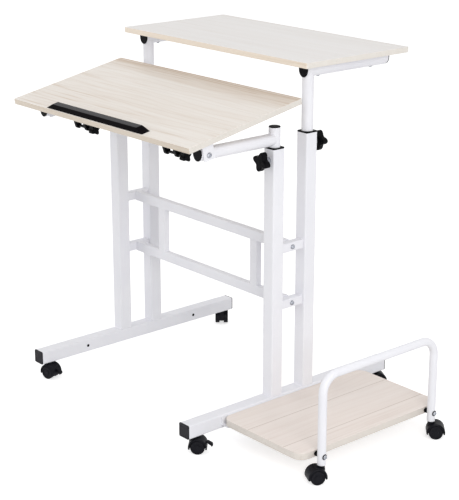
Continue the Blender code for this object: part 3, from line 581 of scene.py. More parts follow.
UPRIGHT_SPACING = 0.420
UPRIGHT_WIDTH = 0.030
UPRIGHT_SINK = 0.001
UPRIGHT_BEAD_RADIUS = 0.0015
BOLT_HEAD = 0.0125
BOLT_HEAD_HEIGHT = 0.004
BOLT_WASHER = (0.003, 0.0072, 0.001)
BOLT_SEAT = 0.0008


def socket_head(place, diameter=BOLT_HEAD, height=BOLT_HEAD_HEIGHT):
    """A button head with a hexagon socket; it sits on its place and faces along its Z axis."""
    socket_share, socket_floor = 0.22, 0.3
    head = bmesh.new()
    ring = bmesh.ops.create_circle(head, cap_ends=True, segments=24, radius=1.0)["verts"]
    across = diameter * socket_share
    for point in ring:
        corner = (atan2(point.co.y, point.co.x) + pi / 6) % (pi / 3) - pi / 6
        point.co *= across / cos(corner)
        point.co.z = height * socket_floor
    rim = head.edges[:]
    steps = ((None, 1.0), (0.34, 1.0), (0.44, 0.78), (0.5, 0.4), (0.5, 0.0))
    for share, level in steps:
        drawn = bmesh.ops.extrude_edge_only(head, edges=rim)["geom"]
        rim = only(drawn, BMEdge)
        for point in only(drawn, BMVert):
            flat = point.co.xy if share is None else point.co.xy.normalized() * diameter * share
            point.co = (flat.x, flat.y, height * level)
    bmesh.ops.edgeloop_fill(head, edges=rim)
    bmesh.ops.recalc_face_normals(head, faces=head.faces)
    bmesh.ops.transform(head, matrix=place, verts=head.verts)
    return head


def washer(place, inner, outer, thickness):
    ring = [(inner, 0.0), (outer, 0.0), (outer, thickness * 0.7), (outer - thickness * 0.3, thickness)]
    return turned(ring + [(inner, thickness), (inner, 0.0)], place)


frame_middle = (frame_low + frame_high) / 2
solids = []
for z in bridge_heights:
    rail_low = Vector((frame_low.x, frame_low.y, z - RAIL_TUBE_HEIGHT / 2))
    rail_high = Vector((frame_high.x, frame_high.y, z + RAIL_TUBE_HEIGHT / 2))
    solids.append(tube_bar(rail_low, rail_high, X, RAIL_TUBE_CORNER))
upright_low = bridge_heights[1] + RAIL_TUBE_HEIGHT / 2
upright_high = bridge_heights[0] - RAIL_TUBE_HEIGHT / 2
for sign in SIDES.values():
    x = frame_middle.x + sign * UPRIGHT_SPACING / 2
    low = Vector((x - UPRIGHT_WIDTH / 2, frame_low.y, upright_low - UPRIGHT_SINK))
    high = Vector((x + UPRIGHT_WIDTH / 2, frame_high.y, upright_high + UPRIGHT_SINK))
    solids.append(tube_bar(low, high, Z, RAIL_TUBE_CORNER))
    for edge in (low.x, high.x):
        for z in (upright_low, upright_high):
            ends = (edge, low.y + BEAD_INSET, z), (edge, high.y - BEAD_INSET, z)
            solids.append(weld_bead(*ends, UPRIGHT_BEAD_RADIUS))
coated("cross_ladder", solids, "frame", "cross_frame")
for side, sign in SIDES.items():
    low, high = column_box["front", side]
    heads = []
    for z in bridge_heights:
        seat = ((low.x + high.x) / 2 + sign * BRIDGE_WIDTH / 2, frame_middle.y, z)
        place = at(seat) @ FACING[side]
        heads += [socket_head(place @ at((0.0, 0.0, BOLT_SEAT))), washer(place, *BOLT_WASHER)]
    plated("frame_bolts_" + side, heads, "frame")


# Height knobs: moulded black cross-shaped knobs on zinc-plated studs, one at each column.
# The stud presses on the post and holds it at its height.

KNOB_DIAMETER = 0.056
KNOB_VALLEY = 0.011
KNOB_LOBES = 4
KNOB_THICKNESS = 0.018
KNOB_HUB_RADIUS = 0.010
KNOB_HUB_LENGTH = 0.004
KNOB_ROUND = 0.0042
KNOB_UNDER_ROUND = 0.0022
KNOB_RIM = 0.0008
KNOB_SINK = 0.0006
KNOB_DOME = 0.0078
STUD_RADIUS = 0.004
KNOB_TURN = {"front": -17.0, "rear": 0.0}
HEIGHT_STUD = 0.0163
STUD_ROOT = 0.001


def star_knob(diameter, turn, place):
    """A cross-shaped knob; its hub starts at its place and it faces along the Z axis."""
    size = diameter / KNOB_DIAMETER
    star = bmesh.new()
    at_hub = at((0.0, 0.0, KNOB_HUB_LENGTH))
    ring = bmesh.ops.create_circle(star, cap_ends=True, segments=88, radius=1.0)["verts"]
    for point in ring:
        angle = atan2(point.co.y, point.co.x) - radians(turn)
        point.co *= diameter / 2 - size * KNOB_VALLEY * (1 - cos(KNOB_LOBES * angle)) / 2
    drawn = bmesh.ops.extrude_face_region(star, geom=star.faces[:])["geom"]
    bmesh.ops.translate(star, verts=only(drawn, BMVert), vec=(0.0, 0.0, KNOB_THICKNESS))
    bmesh.ops.recalc_face_normals(star, faces=star.faces)
    rounded(star, edges_at(star, Z, KNOB_THICKNESS), KNOB_ROUND * size, 5)
    rounded(star, edges_at(star, Z, 0.0), KNOB_UNDER_ROUND * size, 3)
    face = faces_out(star, Z, 1)
    bmesh.ops.inset_region(star, faces=face, thickness=KNOB_RIM)
    bmesh.ops.inset_region(star, faces=face, thickness=KNOB_SINK, depth=-KNOB_SINK)
    bmesh.ops.transform(star, matrix=place @ at_hub, verts=star.verts)
    cap_top = KNOB_HUB_LENGTH + KNOB_THICKNESS - 0.0001
    rim = KNOB_DOME * size
    dome = [(0.0, cap_top), (rim - 0.0028 * size, cap_top - 0.0001), (rim - 0.0006, cap_top - 0.0005)]
    dome += [(rim, cap_top - 0.0012), (rim, cap_top - 0.004), (0.0, cap_top - 0.004)]
    hub_top = KNOB_HUB_LENGTH + 0.004
    hub = [(0.0, hub_top), (KNOB_HUB_RADIUS, hub_top), (KNOB_HUB_RADIUS, 0.0012)]
    hub += [(KNOB_HUB_RADIUS - 0.0009, 0.0003), (0.0, 0.0003)]
    return [star, turned(dome, place), turned(hub, place)]


for end, side in CORNERS:
    node = f"height_knob_{end}_{side}"
    place = at(joints[node + "_turn"]["pos_m"]) @ FACING[end]
    moulded(f"star_knob_{end}_{side}", star_knob(KNOB_DIAMETER, KNOB_TURN[end], place), node, node)
    plated(f"knob_stud_{end}_{side}", [rod(STUD_RADIUS, -HEIGHT_STUD, STUD_ROOT, place)], node)


# Front posts: round steel tubes, coated white, that slide in the front columns.
# A black plug closes the top of each.

POST_EDGE = 0.0004

for side in SIDES:
    node = "front_post_" + side
    low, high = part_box(node)
    place = upright(low, high)
    post = rod(POST_RADIUS, low.z, high.z, place, POST_EDGE, POST_FACETS)
    coated("front_slide_" + side, [post], "desk_carriage", node)
    node = "post_cap_" + side
    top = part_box(node)[1].z
    rim = POST_RADIUS
    plug = [(0.0, top), (rim - 0.004, top - 0.0001), (rim - 0.0012, top - 0.0005), (rim, top - 0.0014)]
    plug += [(rim, top - CAP_PLATE), (0.0, top - CAP_PLATE)]
    moulded("post_plug_" + side, [turned(plug, place, POST_FACETS)], "desk_carriage", node)


# Desk arms: flat-topped tubes with a rounded underside, welded to the front posts.
# They reach forward under the desk board and end in black plugs.

D_CORNER = 0.010
D_ROUND_DEPTH = 0.022
D_EDGE = 0.0003


def arm_tube(low, high, edge):
    """A flat-topped tube along Y whose lower part is rounded to a half ellipse."""
    solid = bar(low, high)
    half = (high.x - low.x) / 2
    lower = [e for e in edges_along(solid, Y) if e.verts[0].co.z < low.z + NEAR]
    rounded(solid, lower, half * 0.998, 12)
    bmesh.ops.remove_doubles(solid, verts=solid.verts, dist=0.0002)
    for point in solid.verts:
        if point.co.z < low.z + half * 1.01:
            point.co.z = low.z + (point.co.z - low.z) * D_ROUND_DEPTH / half
    upper = [e for e in edges_along(solid, Y) if e.verts[0].co.z > high.z - NEAR]
    rounded(solid, upper, D_CORNER, 6)
    ends = edges_at(solid, Y, low.y) + edges_at(solid, Y, high.y)
    return rounded(solid, ends, edge, 2)


def arm_plug(low, high):
    """The plate of a plug in the front end of such a tube."""
    return arm_tube(low, Vector((high.x, low.y + CAP_PLATE, high.z)), CAP_EDGE)


for side in SIDES:
    node = "desk_arm_" + side
    coated("arm_tube_" + side, [arm_tube(*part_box(node), D_EDGE)], "desk_carriage", node)
    node = "arm_cap_" + side
    moulded("arm_plug_" + side, [arm_plug(*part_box(node))], "desk_carriage", node)


# Pivot rod: a zinc-plated steel rod through the noses of both arms, with a button head at each
# end. The desk board turns on it. Two thick black discs on it are what the tilt clamps grip.

PIVOT_RADIUS = 0.005
PIVOT_HEAD = 0.015
GRIP_RADIUS = 0.011
GRIP_LENGTH = 0.036
CLAMP_SPACING = 0.406
CLAMP_OFFSET = 0.010
GRIP_EDGE = 0.001

pivot = Vector(joints["board_tilt"]["pos_m"])
rod_low, rod_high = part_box("pivot_rod")
rod_middle = (rod_low.x + rod_high.x) / 2
rod_end = (rod_high.x - rod_low.x) / 2 - BOLT_HEAD_HEIGHT
across = at((rod_middle, pivot.y, pivot.z))
solids = [rod(PIVOT_RADIUS, -rod_end, rod_end, across @ FACE_RIGHT)]
discs = []
for side, sign in SIDES.items():
    solids.append(socket_head(across @ FACING[side] @ at((0.0, 0.0, rod_end)), PIVOT_HEAD))
    disc = across @ at((CLAMP_OFFSET + sign * CLAMP_SPACING / 2, 0.0, 0.0)) @ FACE_RIGHT
    discs.append(rod(GRIP_RADIUS, -GRIP_LENGTH / 2, GRIP_LENGTH / 2, disc, GRIP_EDGE))
plated("tilt_rod", solids, "desk_carriage", "pivot_rod")
moulded("grip_discs", discs, "desk_carriage")


# Tilt brackets: a channel folded from steel sheet and coated white straddles each arm.
# Its cheeks turn on the pivot rod, and four screws hold it under the desk board.

BOARD_TILT = 11.0
BOARD_SEAT = 0.0382
BRACKET_SHEET = 0.0025
BRACKET_LENGTH = 0.036
BRACKET_FLANGE = 0.016
BRACKET_DROP = 0.0147
BRACKET_CORNER = 0.004
ARM_SPACING = 0.700
CHEEK_OUTER = 0.0198
SCREW_HEAD = 0.008
SCREW_HEIGHT = 0.0022
SHEET_EDGE = 0.0004
SCREW_INSET = 0.009
SCREW_SPACING = 0.022

tilt = across @ Matrix.Rotation(radians(BOARD_TILT), 4, "X")


def placed(solid, matrix):
    bmesh.ops.transform(solid, matrix=matrix, verts=solid.verts)
    solid.normal_update()
    return solid


def cheek(low, high):
    """An upright plate across X with rounded lower corners."""
    solid = bar(low, high)
    lower = [e for e in edges_along(solid, X) if e.verts[0].co.z < low[Z] + NEAR]
    rounded(solid, lower, BRACKET_CORNER, 5)
    rims = edges_at(solid, X, low[X]) + edges_at(solid, X, high[X])
    return rounded(solid, rims, SHEET_EDGE, 2)


for side, sign in SIDES.items():
    at_arm = tilt @ at((sign * ARM_SPACING / 2, 0.0, 0.0))
    wide = CHEEK_OUTER + BRACKET_FLANGE
    long = BRACKET_LENGTH / 2
    under = BOARD_SEAT - BRACKET_SHEET
    base = bar((-wide, -long, under), (wide, long, BOARD_SEAT), Z, BRACKET_CORNER, 4)
    rounded(base, edges_at(base, Z, under), SHEET_EDGE, 2)
    solids = [placed(base, at_arm)]
    screws = []
    for face in (-1, 1):
        inner, outer = sorted((face * (CHEEK_OUTER - BRACKET_SHEET), face * CHEEK_OUTER))
        plate = cheek((inner, -long, -BRACKET_DROP), (outer, long, BOARD_SEAT - BRACKET_SHEET / 2))
        solids.append(placed(plate, at_arm))
        for y in (-SCREW_SPACING / 2, SCREW_SPACING / 2):
            seat = at_arm @ at((face * (CHEEK_OUTER + SCREW_INSET), y, under))
            screws.append(socket_head(seat @ FACE_DOWN, SCREW_HEAD, SCREW_HEIGHT))
    coated("hinge_bracket_" + side, solids, "tilting_board", "tilt_bracket_" + side)
    plated("bracket_screws_" + side, screws, "tilting_board")


# Desk board: chipboard faced with a pale maple laminate, its corners rounded and its edges banded. The
# print shows strips of wood with soft streaks, and the colour turns darker in a strip along the back.

PANEL_CORNER = 0.005
PANEL_EDGE = 0.0012
PANEL_THICKNESS = 0.016
BOARD_WIDTH = 0.800
BOARD_FRONT = -0.083
BOARD_BACK = 0.311
STRIP_WIDTH = 0.100
DESK_MAPLE = ((236, 230, 223), (204, 184, 163))
DESK_LONG_BAND = ((224, 212, 197), (209, 194, 175))
DESK_SHORT_BAND = ((224, 219, 212), (215, 208, 198))
MAPLE_RELIEF = 0.00008


def maple_grain():
    """Printed strips of maple with joints between them: streaks, fibres, threads and curved figure.

    Towards the darkening edge the colour turns darker, with a dark and a pale line near that edge."""
    inputs = [("Vector", "Vector", None), ("Light", "Color", None), ("Dark", "Color", None)]
    inputs += [("Strip Width", "Float", 0.1), ("Joint", "Float", 0.5), ("Figure", "Float", 1.0)]
    inputs += [("Heart Edge", "Float", 10.0), ("Heart", "Float", 0.0)]
    outputs = [("Color", "Color"), ("Roughness", "Float"), ("Height", "Float")]
    group, given = effect("maple_grain", inputs, outputs)
    way = add_node(group, "SeparateXYZ", {0: given["Vector"]}).outputs
    strip = reckon(group, "ADD", reckon(group, "DIVIDE", way["Y"], given["Strip Width"]), 0.5)
    number = reckon(group, "FLOOR", strip)
    shade = add_node(group, "TexWhiteNoise", {"W": number}, noise_dimensions="1D").outputs["Value"]
    slip = reckon(group, "MULTIPLY", shade, 5.3)
    slipped = reckon(group, "ADD", way["X"], slip)
    along = add_node(group, "CombineXYZ", {0: slipped, 1: way["Y"], 2: way["Z"]}).outputs[0]
    streak = noise(group, stretched(group, along, (1.4, 24.0, 24.0)), 1.0, 5.0, 0.3)
    fibre = noise(group, stretched(group, along, (14.0, 620.0, 620.0)), 1.0, 2.0)
    wave_way = {"Vector": stretched(group, along, (0.22, 1.0, 1.0)), "Scale": 13.0, "Distortion": 9.0}
    wave_way |= {"Detail": 2.0, "Detail Scale": 0.9}
    wave = add_node(group, "TexWave", wave_way, bands_direction="Y").outputs["Fac"]
    patch = noise(group, stretched(group, along, (2.0, 9.0, 9.0)), 1.0, 1.0)
    thread = noise(group, stretched(group, along, (3.5, 130.0, 130.0)), 1.0, 2.0)
    thread = ranged(group, thread, 0.54, 0.68)
    thread = reckon(group, "MULTIPLY", thread, ranged(group, patch, 0.46, 0.64))
    depth = reckon(group, "MULTIPLY", ranged(group, streak, 0.35, 0.72), 0.36)
    for layer, strength in ((ranged(group, wave, 0.72, 1.0), 0.14), (thread, 0.75)):
        depth = reckon(group, "ADD", depth, reckon(group, "MULTIPLY", layer, strength))
    depth = reckon(group, "ADD", depth, ranged(group, fibre, 0.3, 0.7, -0.08, 0.12))
    depth = reckon(group, "ADD", depth, ranged(group, shade, 0.0, 1.0, -0.12, 0.12))
    depth = reckon(group, "MULTIPLY", depth, given["Figure"])
    # Darker towards the back edge over its last 85 mm, with a dark line and a pale line near that
    # edge.
    darkening_low = reckon(group, "SUBTRACT", given["Heart Edge"], 0.085)
    near = ranged(group, way["Y"], darkening_low, given["Heart Edge"])
    near = reckon(group, "MULTIPLY", near, streak)
    rim = reckon(group, "SUBTRACT", given["Heart Edge"], way["Y"])
    for inset, width, strength in ((0.0165, 0.0025, 0.4), (0.0120, 0.0022, -0.5)):
        off = reckon(group, "ABSOLUTE", reckon(group, "SUBTRACT", rim, inset))
        near = reckon(group, "ADD", near, ranged(group, off, 0.0, width, strength, 0.0))
    heart = reckon(group, "MULTIPLY", near, given["Heart"])
    depth = add_node(group, "Clamp", {0: reckon(group, "ADD", depth, heart)}).outputs[0]
    colour = blended(group, depth, given["Light"], given["Dark"])
    side = reckon(group, "ABSOLUTE", reckon(group, "SUBTRACT", reckon(group, "FRACT", strip), 0.5))
    joint = reckon(group, "MULTIPLY", ranged(group, side, 0.490, 0.498), given["Joint"])
    colour = blended(group, joint, colour, stretched(group, given["Dark"], (0.62, 0.56, 0.50)))
    height = reckon(group, "SUBTRACT", reckon(group, "MULTIPLY", fibre, 0.4), joint)
    give(group, Color=colour, Roughness=ranged(group, streak, 0.3, 0.7, 0.36, 0.47), Height=height)
    return group


MAPLE_GRAIN = maple_grain()


def maple_laminate(name, place, turn, colours, **values):
    """Laminate in a light and a dark colour, whose strips run along X of its own place."""
    material, tree, shader, coordinates = finish(name)
    sockets = {"Vector": coordinates, "Location": place, "Rotation": turn}
    own = add_node(tree, "Mapping", sockets, vector_type="TEXTURE").outputs[0]
    sockets = {"Vector": own, "Light": tone(*colours[0]), "Dark": tone(*colours[1])}
    sockets |= {socket.replace("_", " ").title(): value for socket, value in values.items()}
    grain = add_node(tree, "Group", sockets, node_tree=MAPLE_GRAIN).outputs
    feed(tree, shader, grain["Color"], grain["Roughness"], grain["Height"], MAPLE_RELIEF)
    return material


def edge_band(name, place, turn, colours, figure=0.8):
    """A band of the same print without strips."""
    return maple_laminate(name, place, turn, colours, strip_width=1.0, joint=0.0, figure=figure)


def panel(low, high, corner):
    """A banded board; its faces take finish 0, long edges finish 1 and short edges finish 2."""
    board = bar(low, high, Z, corner, 8)
    rounded(board, edges_at(board, Z, low[Z]) + edges_at(board, Z, high[Z]), PANEL_EDGE, 3)
    for face in board.faces:
        if abs(face.normal.z) < 0.5:
            face.material_index = 1 if abs(face.normal.y) > abs(face.normal.x) else 2
    return board


board_middle = tilt @ Vector((0.0, (BOARD_FRONT + BOARD_BACK) / 2, BOARD_SEAT))
tilted = (radians(BOARD_TILT), 0.0, 0.0)
desk_top = maple_laminate("desk_laminate", board_middle, tilted, DESK_MAPLE, strip_width=STRIP_WIDTH,
                          joint=0.22, figure=0.85, heart_edge=0.2, heart=1.3)
long_band = edge_band("desk_long_band", board_middle, tilted, DESK_LONG_BAND)
short_band = edge_band("desk_short_band", board_middle, tilted, DESK_SHORT_BAND)
finishes = [desk_top, long_band, short_band]
board_low = BOARD_SEAT + JOINT_GAP
board = panel((-BOARD_WIDTH / 2, BOARD_FRONT, board_low),
              (BOARD_WIDTH / 2, BOARD_BACK, board_low + PANEL_THICKNESS), PANEL_CORNER)
piece("desk_panel", [placed(board, tilt)], finishes, "tilting_board", "maple_laminate", "desk_board")


# Tilt clamps: moulded black blocks screwed under the desk board. Each has two jaws around a disc
# of the pivot rod, and a small cross-shaped knob whose blackened stud draws the jaws together.

CLAMP_CHEEK = 0.010
CLAMP_LENGTH = 0.032
CLAMP_BASE = 0.006
CLAMP_TIP = 0.0085
CLAMP_DROP = 0.0225
TILT_KNOB_DIAMETER = 0.032
TILT_KNOB_STANDOFF = 0.014
TILT_KNOB_TURN = 20.0
CLAMP_CORNER = 0.002
JAW_EDGE = 0.0015
OXIDE_LIGHT = (26, 26, 28)
OXIDE_DARK = (16, 16, 18)

BLACK_STEEL = steel_finish("black_oxide", OXIDE_LIGHT, OXIDE_DARK)
for side, sign in SIDES.items():
    at_clamp = tilt @ at((CLAMP_OFFSET + sign * CLAMP_SPACING / 2, 0.0, 0.0))
    wide = GRIP_LENGTH / 2 + JOINT_GAP + CLAMP_CHEEK
    long = CLAMP_LENGTH / 2
    under = BOARD_SEAT - CLAMP_BASE
    base = bar((-wide, -long, under), (wide, long, BOARD_SEAT), Z, CLAMP_CORNER, 3)
    solids = [placed(base, at_clamp)]
    for face in (-1, 1):
        inner, outer = sorted((face * (wide - CLAMP_CHEEK), face * wide))
        top = BOARD_SEAT - CLAMP_BASE / 2
        outline = [(-long, top), (-CLAMP_TIP, -CLAMP_DROP), (-CLAMP_TIP, -CLAMP_DROP - CLAMP_TIP)]
        outline += [(-y, z) for y, z in reversed(outline)]
        jaw = prism([(inner, y, z) for y, z in outline], (outer - inner, 0.0, 0.0))
        tip = [e for e in edges_along(jaw, X) if e.verts[0].co.z < -CLAMP_DROP - CLAMP_TIP / 2]
        rounded(jaw, tip, CLAMP_TIP * 0.98, 8)
        rounded(jaw, edges_at(jaw, X, face * wide), JAW_EDGE, 3)
        solids.append(placed(jaw, at_clamp))
    moulded("clamp_jaws_" + side, solids, "tilting_board", "tilt_clamp_" + side)
    node = "tilt_knob_" + side
    place = at_clamp @ at((wide + TILT_KNOB_STANDOFF, 0.0, -CLAMP_DROP)) @ FACE_RIGHT
    knob = star_knob(TILT_KNOB_DIAMETER, TILT_KNOB_TURN, place)
    moulded("clamp_knob_" + side, knob, node, node)
    stud = rod(STUD_RADIUS, -2 * wide - TILT_KNOB_STANDOFF, STUD_ROOT, place)
    piece("clamp_stud_" + side, [stud], [BLACK_STEEL], node, "black_plastic")


# Stop bar: a moulded black ridge with sloping sides and ends and a smoother top, glued along the
# front of the desk board. It keeps a keyboard or a book from sliding off a tilted board.

STOP_LENGTH = 0.438
STOP_OFFSET = -0.014
STOP_WIDTH = 0.028
STOP_HEIGHT = 0.013
STOP_SETBACK = 0.003
STOP_TOP_WIDTH = 0.022
STOP_END_SLOPE = 0.026
STOP_ROUND = 0.0014
STOP_SIDE_PLAIN = (8, 5, 8)
STOP_SIDE_WORN = (16, 12, 16)
# The top's colours are lighter than the sides': a painted sheen on the top of the same black plastic.
STOP_TOP_PAINTED_SHEEN = (14, 9, 16)
STOP_TOP_PAINTED_SHEEN_WORN = (24, 18, 28)

stop_low = board_low + PANEL_THICKNESS + JOINT_GAP
stop_middle = BOARD_FRONT + STOP_SETBACK + STOP_WIDTH / 2
half = STOP_LENGTH / 2
ridge = bar((-half, -STOP_WIDTH / 2, 0.0), (half, STOP_WIDTH / 2, STOP_HEIGHT))
for point in ridge.verts:
    if point.co.z > NEAR:
        point.co.x *= 1 - STOP_END_SLOPE / half
        point.co.y *= STOP_TOP_WIDTH / STOP_WIDTH
rounded(ridge, [e for e in ridge.edges if max(v.co.z for v in e.verts) > NEAR], STOP_ROUND, 3)
# The top faces take the lighter material, which paints a sheen on them.
for face in faces_out(ridge, Z, 1):
    face.material_index = 1
placed(ridge, tilt @ at((STOP_OFFSET, stop_middle, stop_low)))
stop_side = moulded_plastic("stop_side", STOP_SIDE_PLAIN, STOP_SIDE_WORN, 1.0, 0.02)
stop_top_painted_sheen = moulded_plastic("stop_top_painted_sheen", STOP_TOP_PAINTED_SHEEN, STOP_TOP_PAINTED_SHEEN_WORN, 0.5, 0.08)
piece("stop_ridge", [ridge], [stop_side, stop_top_painted_sheen], "tilting_board", "black_plastic", "keyboard_stop")


# Monitor carriage: a round post slides in each rear column and carries a flat-topped tube welded
# across its top, all coated white. The tubes have black plugs, and screws go up through them.

SHELF_SCREWS = (0.052, 0.254)
SHELF_SCREW_HEAD = 0.010
SHELF_SCREW_HEIGHT = 0.003
SHELF_SCREW_SINK = 0.0004
POST_RISE = 0.012

for side in SIDES:
    node = "shelf_tube_" + side
    tube_low, tube_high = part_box(node)
    low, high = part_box("rear_post_" + side)
    place = upright(low, high)
    post = rod(POST_RADIUS, low.z, tube_low.z + POST_RISE, place, POST_EDGE, POST_FACETS)
    coated("rear_slide_" + side, [post], "monitor_carriage", "rear_post_" + side)
    coated("shelf_arm_" + side, [arm_tube(tube_low, tube_high, D_EDGE)], "monitor_carriage", node)
    node = "shelf_tube_cap_" + side
    moulded("shelf_plug_front_" + side, [arm_plug(*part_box(node))], "monitor_carriage", node)
    rear_low = Vector((tube_low.x, tube_high.y + JOINT_GAP, tube_low.z))
    moulded("shelf_plug_rear_" + side, [arm_plug(rear_low, tube_high)], "monitor_carriage")
    screws = []
    for y in SHELF_SCREWS:
        seat = ((tube_low.x + tube_high.x) / 2, tube_low.y + y, tube_low.z + SHELF_SCREW_SINK)
        screws.append(socket_head(at(seat) @ FACE_DOWN, SHELF_SCREW_HEAD, SHELF_SCREW_HEIGHT))
    plated("shelf_screws_" + side, screws, "monitor_carriage")


# Monitor shelf: chipboard with the same laminate and edge bands as the desk board, laid flat on
# the two tubes and held by their screws.

SHELF_MAPLE = ((232, 229, 227), (222, 215, 208))
SHELF_LONG_BAND = ((238, 226, 211), (224, 209, 190))
SHELF_SHORT_BAND = ((231, 226, 219), (222, 215, 205))

low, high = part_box("monitor_shelf")
middle = (low + high) / 2
level = (0.0, 0.0, 0.0)
shelf_top = maple_laminate("shelf_laminate", middle, level, SHELF_MAPLE, strip_width=STRIP_WIDTH,
                           joint=0.08, figure=0.6)
long_band = edge_band("shelf_long_band", middle, level, SHELF_LONG_BAND)
short_band = edge_band("shelf_short_band", middle, level, SHELF_SHORT_BAND)
finishes = [shelf_top, long_band, short_band]
board = panel(low, high, PANEL_CORNER)
piece("monitor_panel", [board], finishes, "monitor_carriage", "maple_laminate", "monitor_shelf")


# Case shelf: a smaller laminated board beside the right foot, with well rounded corners.
# Its strips run from front to back. Screws hold it to the rail from below.

CASE_CORNER = 0.030
CASE_STRIP = 0.139
CASE_JOINT_MIDDLE = 0.1755
CASE_MAPLE = ((237, 227, 220), (219, 203, 193))
CASE_BAND = ((226, 219, 211), (211, 202, 193))
CASE_SCREWS = (-0.24, 0.0, 0.24)
CASE_SCREW_INSET = 0.014

low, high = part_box("case_shelf")
middle = (low + high) / 2
strips = Vector((low.x + CASE_JOINT_MIDDLE, middle.y, middle.z))
along_y = (0.0, 0.0, radians(90))
case_top = maple_laminate("case_laminate", strips, along_y, CASE_MAPLE, strip_width=CASE_STRIP,
                          joint=0.9, figure=0.8)
case_band = edge_band("case_edge_band", strips, along_y, CASE_BAND, 0.7)
board = panel(low, high, CASE_CORNER)
finishes = [case_top, case_band, case_band]
piece("case_panel", [board], finishes, "frame", "maple_laminate", "case_shelf")
screws = []
for y in CASE_SCREWS:
    seat = at((low.x + CASE_SCREW_INSET, middle.y + y, flange_top - RAIL_SHEET))
    screws.append(socket_head(seat @ FACE_DOWN, SCREW_HEAD, SCREW_HEIGHT))
plated("case_screws", screws, "frame")


# Case hoop: one length of round steel tube, bent twice and coated white, along the outer edge of
# the case shelf. A bolt through each leg, with a black spacer, holds it to the board's edge.

HOOP_RADIUS = 0.0115
HOOP_BEND = 0.048
SPACER_RADIUS = 0.007
SPACER_EDGE = 0.0006
SPACER_SINK = 0.001
HOOP_WASHER = (0.003, 0.0078, 0.0016)
HOOP_WASHER_SINK = 0.0006
HOOP_HEAD = 0.0118
HOOP_HEAD_HEIGHT = 0.0038
HOOP_HEAD_SEAT = 0.0014

hoop_low, hoop_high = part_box("case_hoop")
legs = [Vector(joints[f"castor_outer_{end}_swivel"]["pos_m"]) for end in ENDS]
hoop_x = legs[0].x
bend_z = hoop_high.z - HOOP_RADIUS - HOOP_BEND
hoop = bmesh.new()
start = at((hoop_x, legs[0].y, hoop_low.z))
bmesh.ops.create_circle(hoop, segments=36, radius=HOOP_RADIUS, matrix=start)
rim = hoop.edges[:]
runs = [(0.0, 0.0, bend_z - hoop_low.z), (0.0, legs[1].y - legs[0].y - 2 * HOOP_BEND, 0.0)]
runs += [(0.0, 0.0, hoop_low.z - bend_z)]
bends = (legs[0].y + HOOP_BEND, legs[1].y - HOOP_BEND, None)
for run, bend_y in zip(runs, bends):
    drawn = bmesh.ops.extrude_edge_only(hoop, edges=rim)["geom"]
    rim, ends = only(drawn, BMEdge), only(drawn, BMVert)
    bmesh.ops.translate(hoop, verts=ends, vec=run)
    if bend_y is not None:
        about = {"cent": (hoop_x, bend_y, bend_z), "axis": (-1.0, 0.0, 0.0), "angle": pi / 2}
        bent = bmesh.ops.spin(hoop, geom=rim + ends, steps=16, **about)["geom_last"]
        rim = only(bent, BMEdge)
bmesh.ops.holes_fill(hoop, edges=hoop.edges, sides=40)
bmesh.ops.recalc_face_normals(hoop, faces=hoop.faces)
coated("hoop_tube", [hoop], "frame", "case_hoop")
bolt_z = (shelf_low.z + shelf_high.z) / 2
spacers, washers, heads = [], [], []
for leg in legs:
    place = at((shelf_high.x + JOINT_GAP, leg.y, bolt_z)) @ FACE_RIGHT
    gap = hoop_x - HOOP_RADIUS - shelf_high.x
    spacers.append(rod(SPACER_RADIUS, 0.0, gap + SPACER_SINK, place, SPACER_EDGE))
    place = at((hoop_x + HOOP_RADIUS - HOOP_WASHER_SINK, leg.y, bolt_z)) @ FACE_RIGHT
    washers.append(washer(place, *HOOP_WASHER))
    heads.append(socket_head(place @ at((0.0, 0.0, HOOP_HEAD_SEAT)), HOOP_HEAD, HOOP_HEAD_HEIGHT))
moulded("hoop_spacers", spacers + washers, "frame")
plated("hoop_bolts", heads, "frame")


# Castors: a moulded black hood swivels on a steel stem pressed into each foot or hoop leg, over
# twin moulded wheels on one axle. The two at the front of the feet have a brake pedal.

WHEEL_RADIUS = 0.020
WHEEL_INNER = 0.007
WHEEL_OUTER = 0.021
HOOD_RADIUS = 0.026
HOOD_SHELL = 0.0045
HOOD_LIP = 12.0
HOOD_WEB = 0.012
HOOD_BOSS = 0.009
STEM_RADIUS = 0.0045
STEM_GRIP = 0.022
CASTOR_TOP = 0.0497
BRAKE_WIDTH = 0.012
BRAKE_LENGTH = 0.013
BRAKE_THICKNESS = 0.004
BRAKE_PIN = 0.0035
BRAKE_SLOPE = 35.0
BRAKE_EDGE = 0.0009
HOOD_ROUND = 0.0032
HOOD_WEB_CUT = 0.007
STEM_SINK = 0.001
STEM_EDGE = 0.001
AXLE_RADIUS = 0.003
AXLE_SINK = 0.001
TREAD_GRAIN = 700.0
TREAD_BLACK = (12, 12, 18)
TREAD_WORN = (28, 28, 35)
CASTORS = ("front_left", "front_right", "rear_left", "rear_right", "outer_front", "outer_rear")
BRAKED = ("front_left", "front_right")

WHEEL_TREAD = moulded_plastic("wheel_tread", TREAD_BLACK, TREAD_WORN, 1.3, 0.14, TREAD_GRAIN)
HOOD_PLASTIC = moulded_plastic("hood_plastic", TREAD_BLACK, TREAD_WORN, 1.0, 0.12)


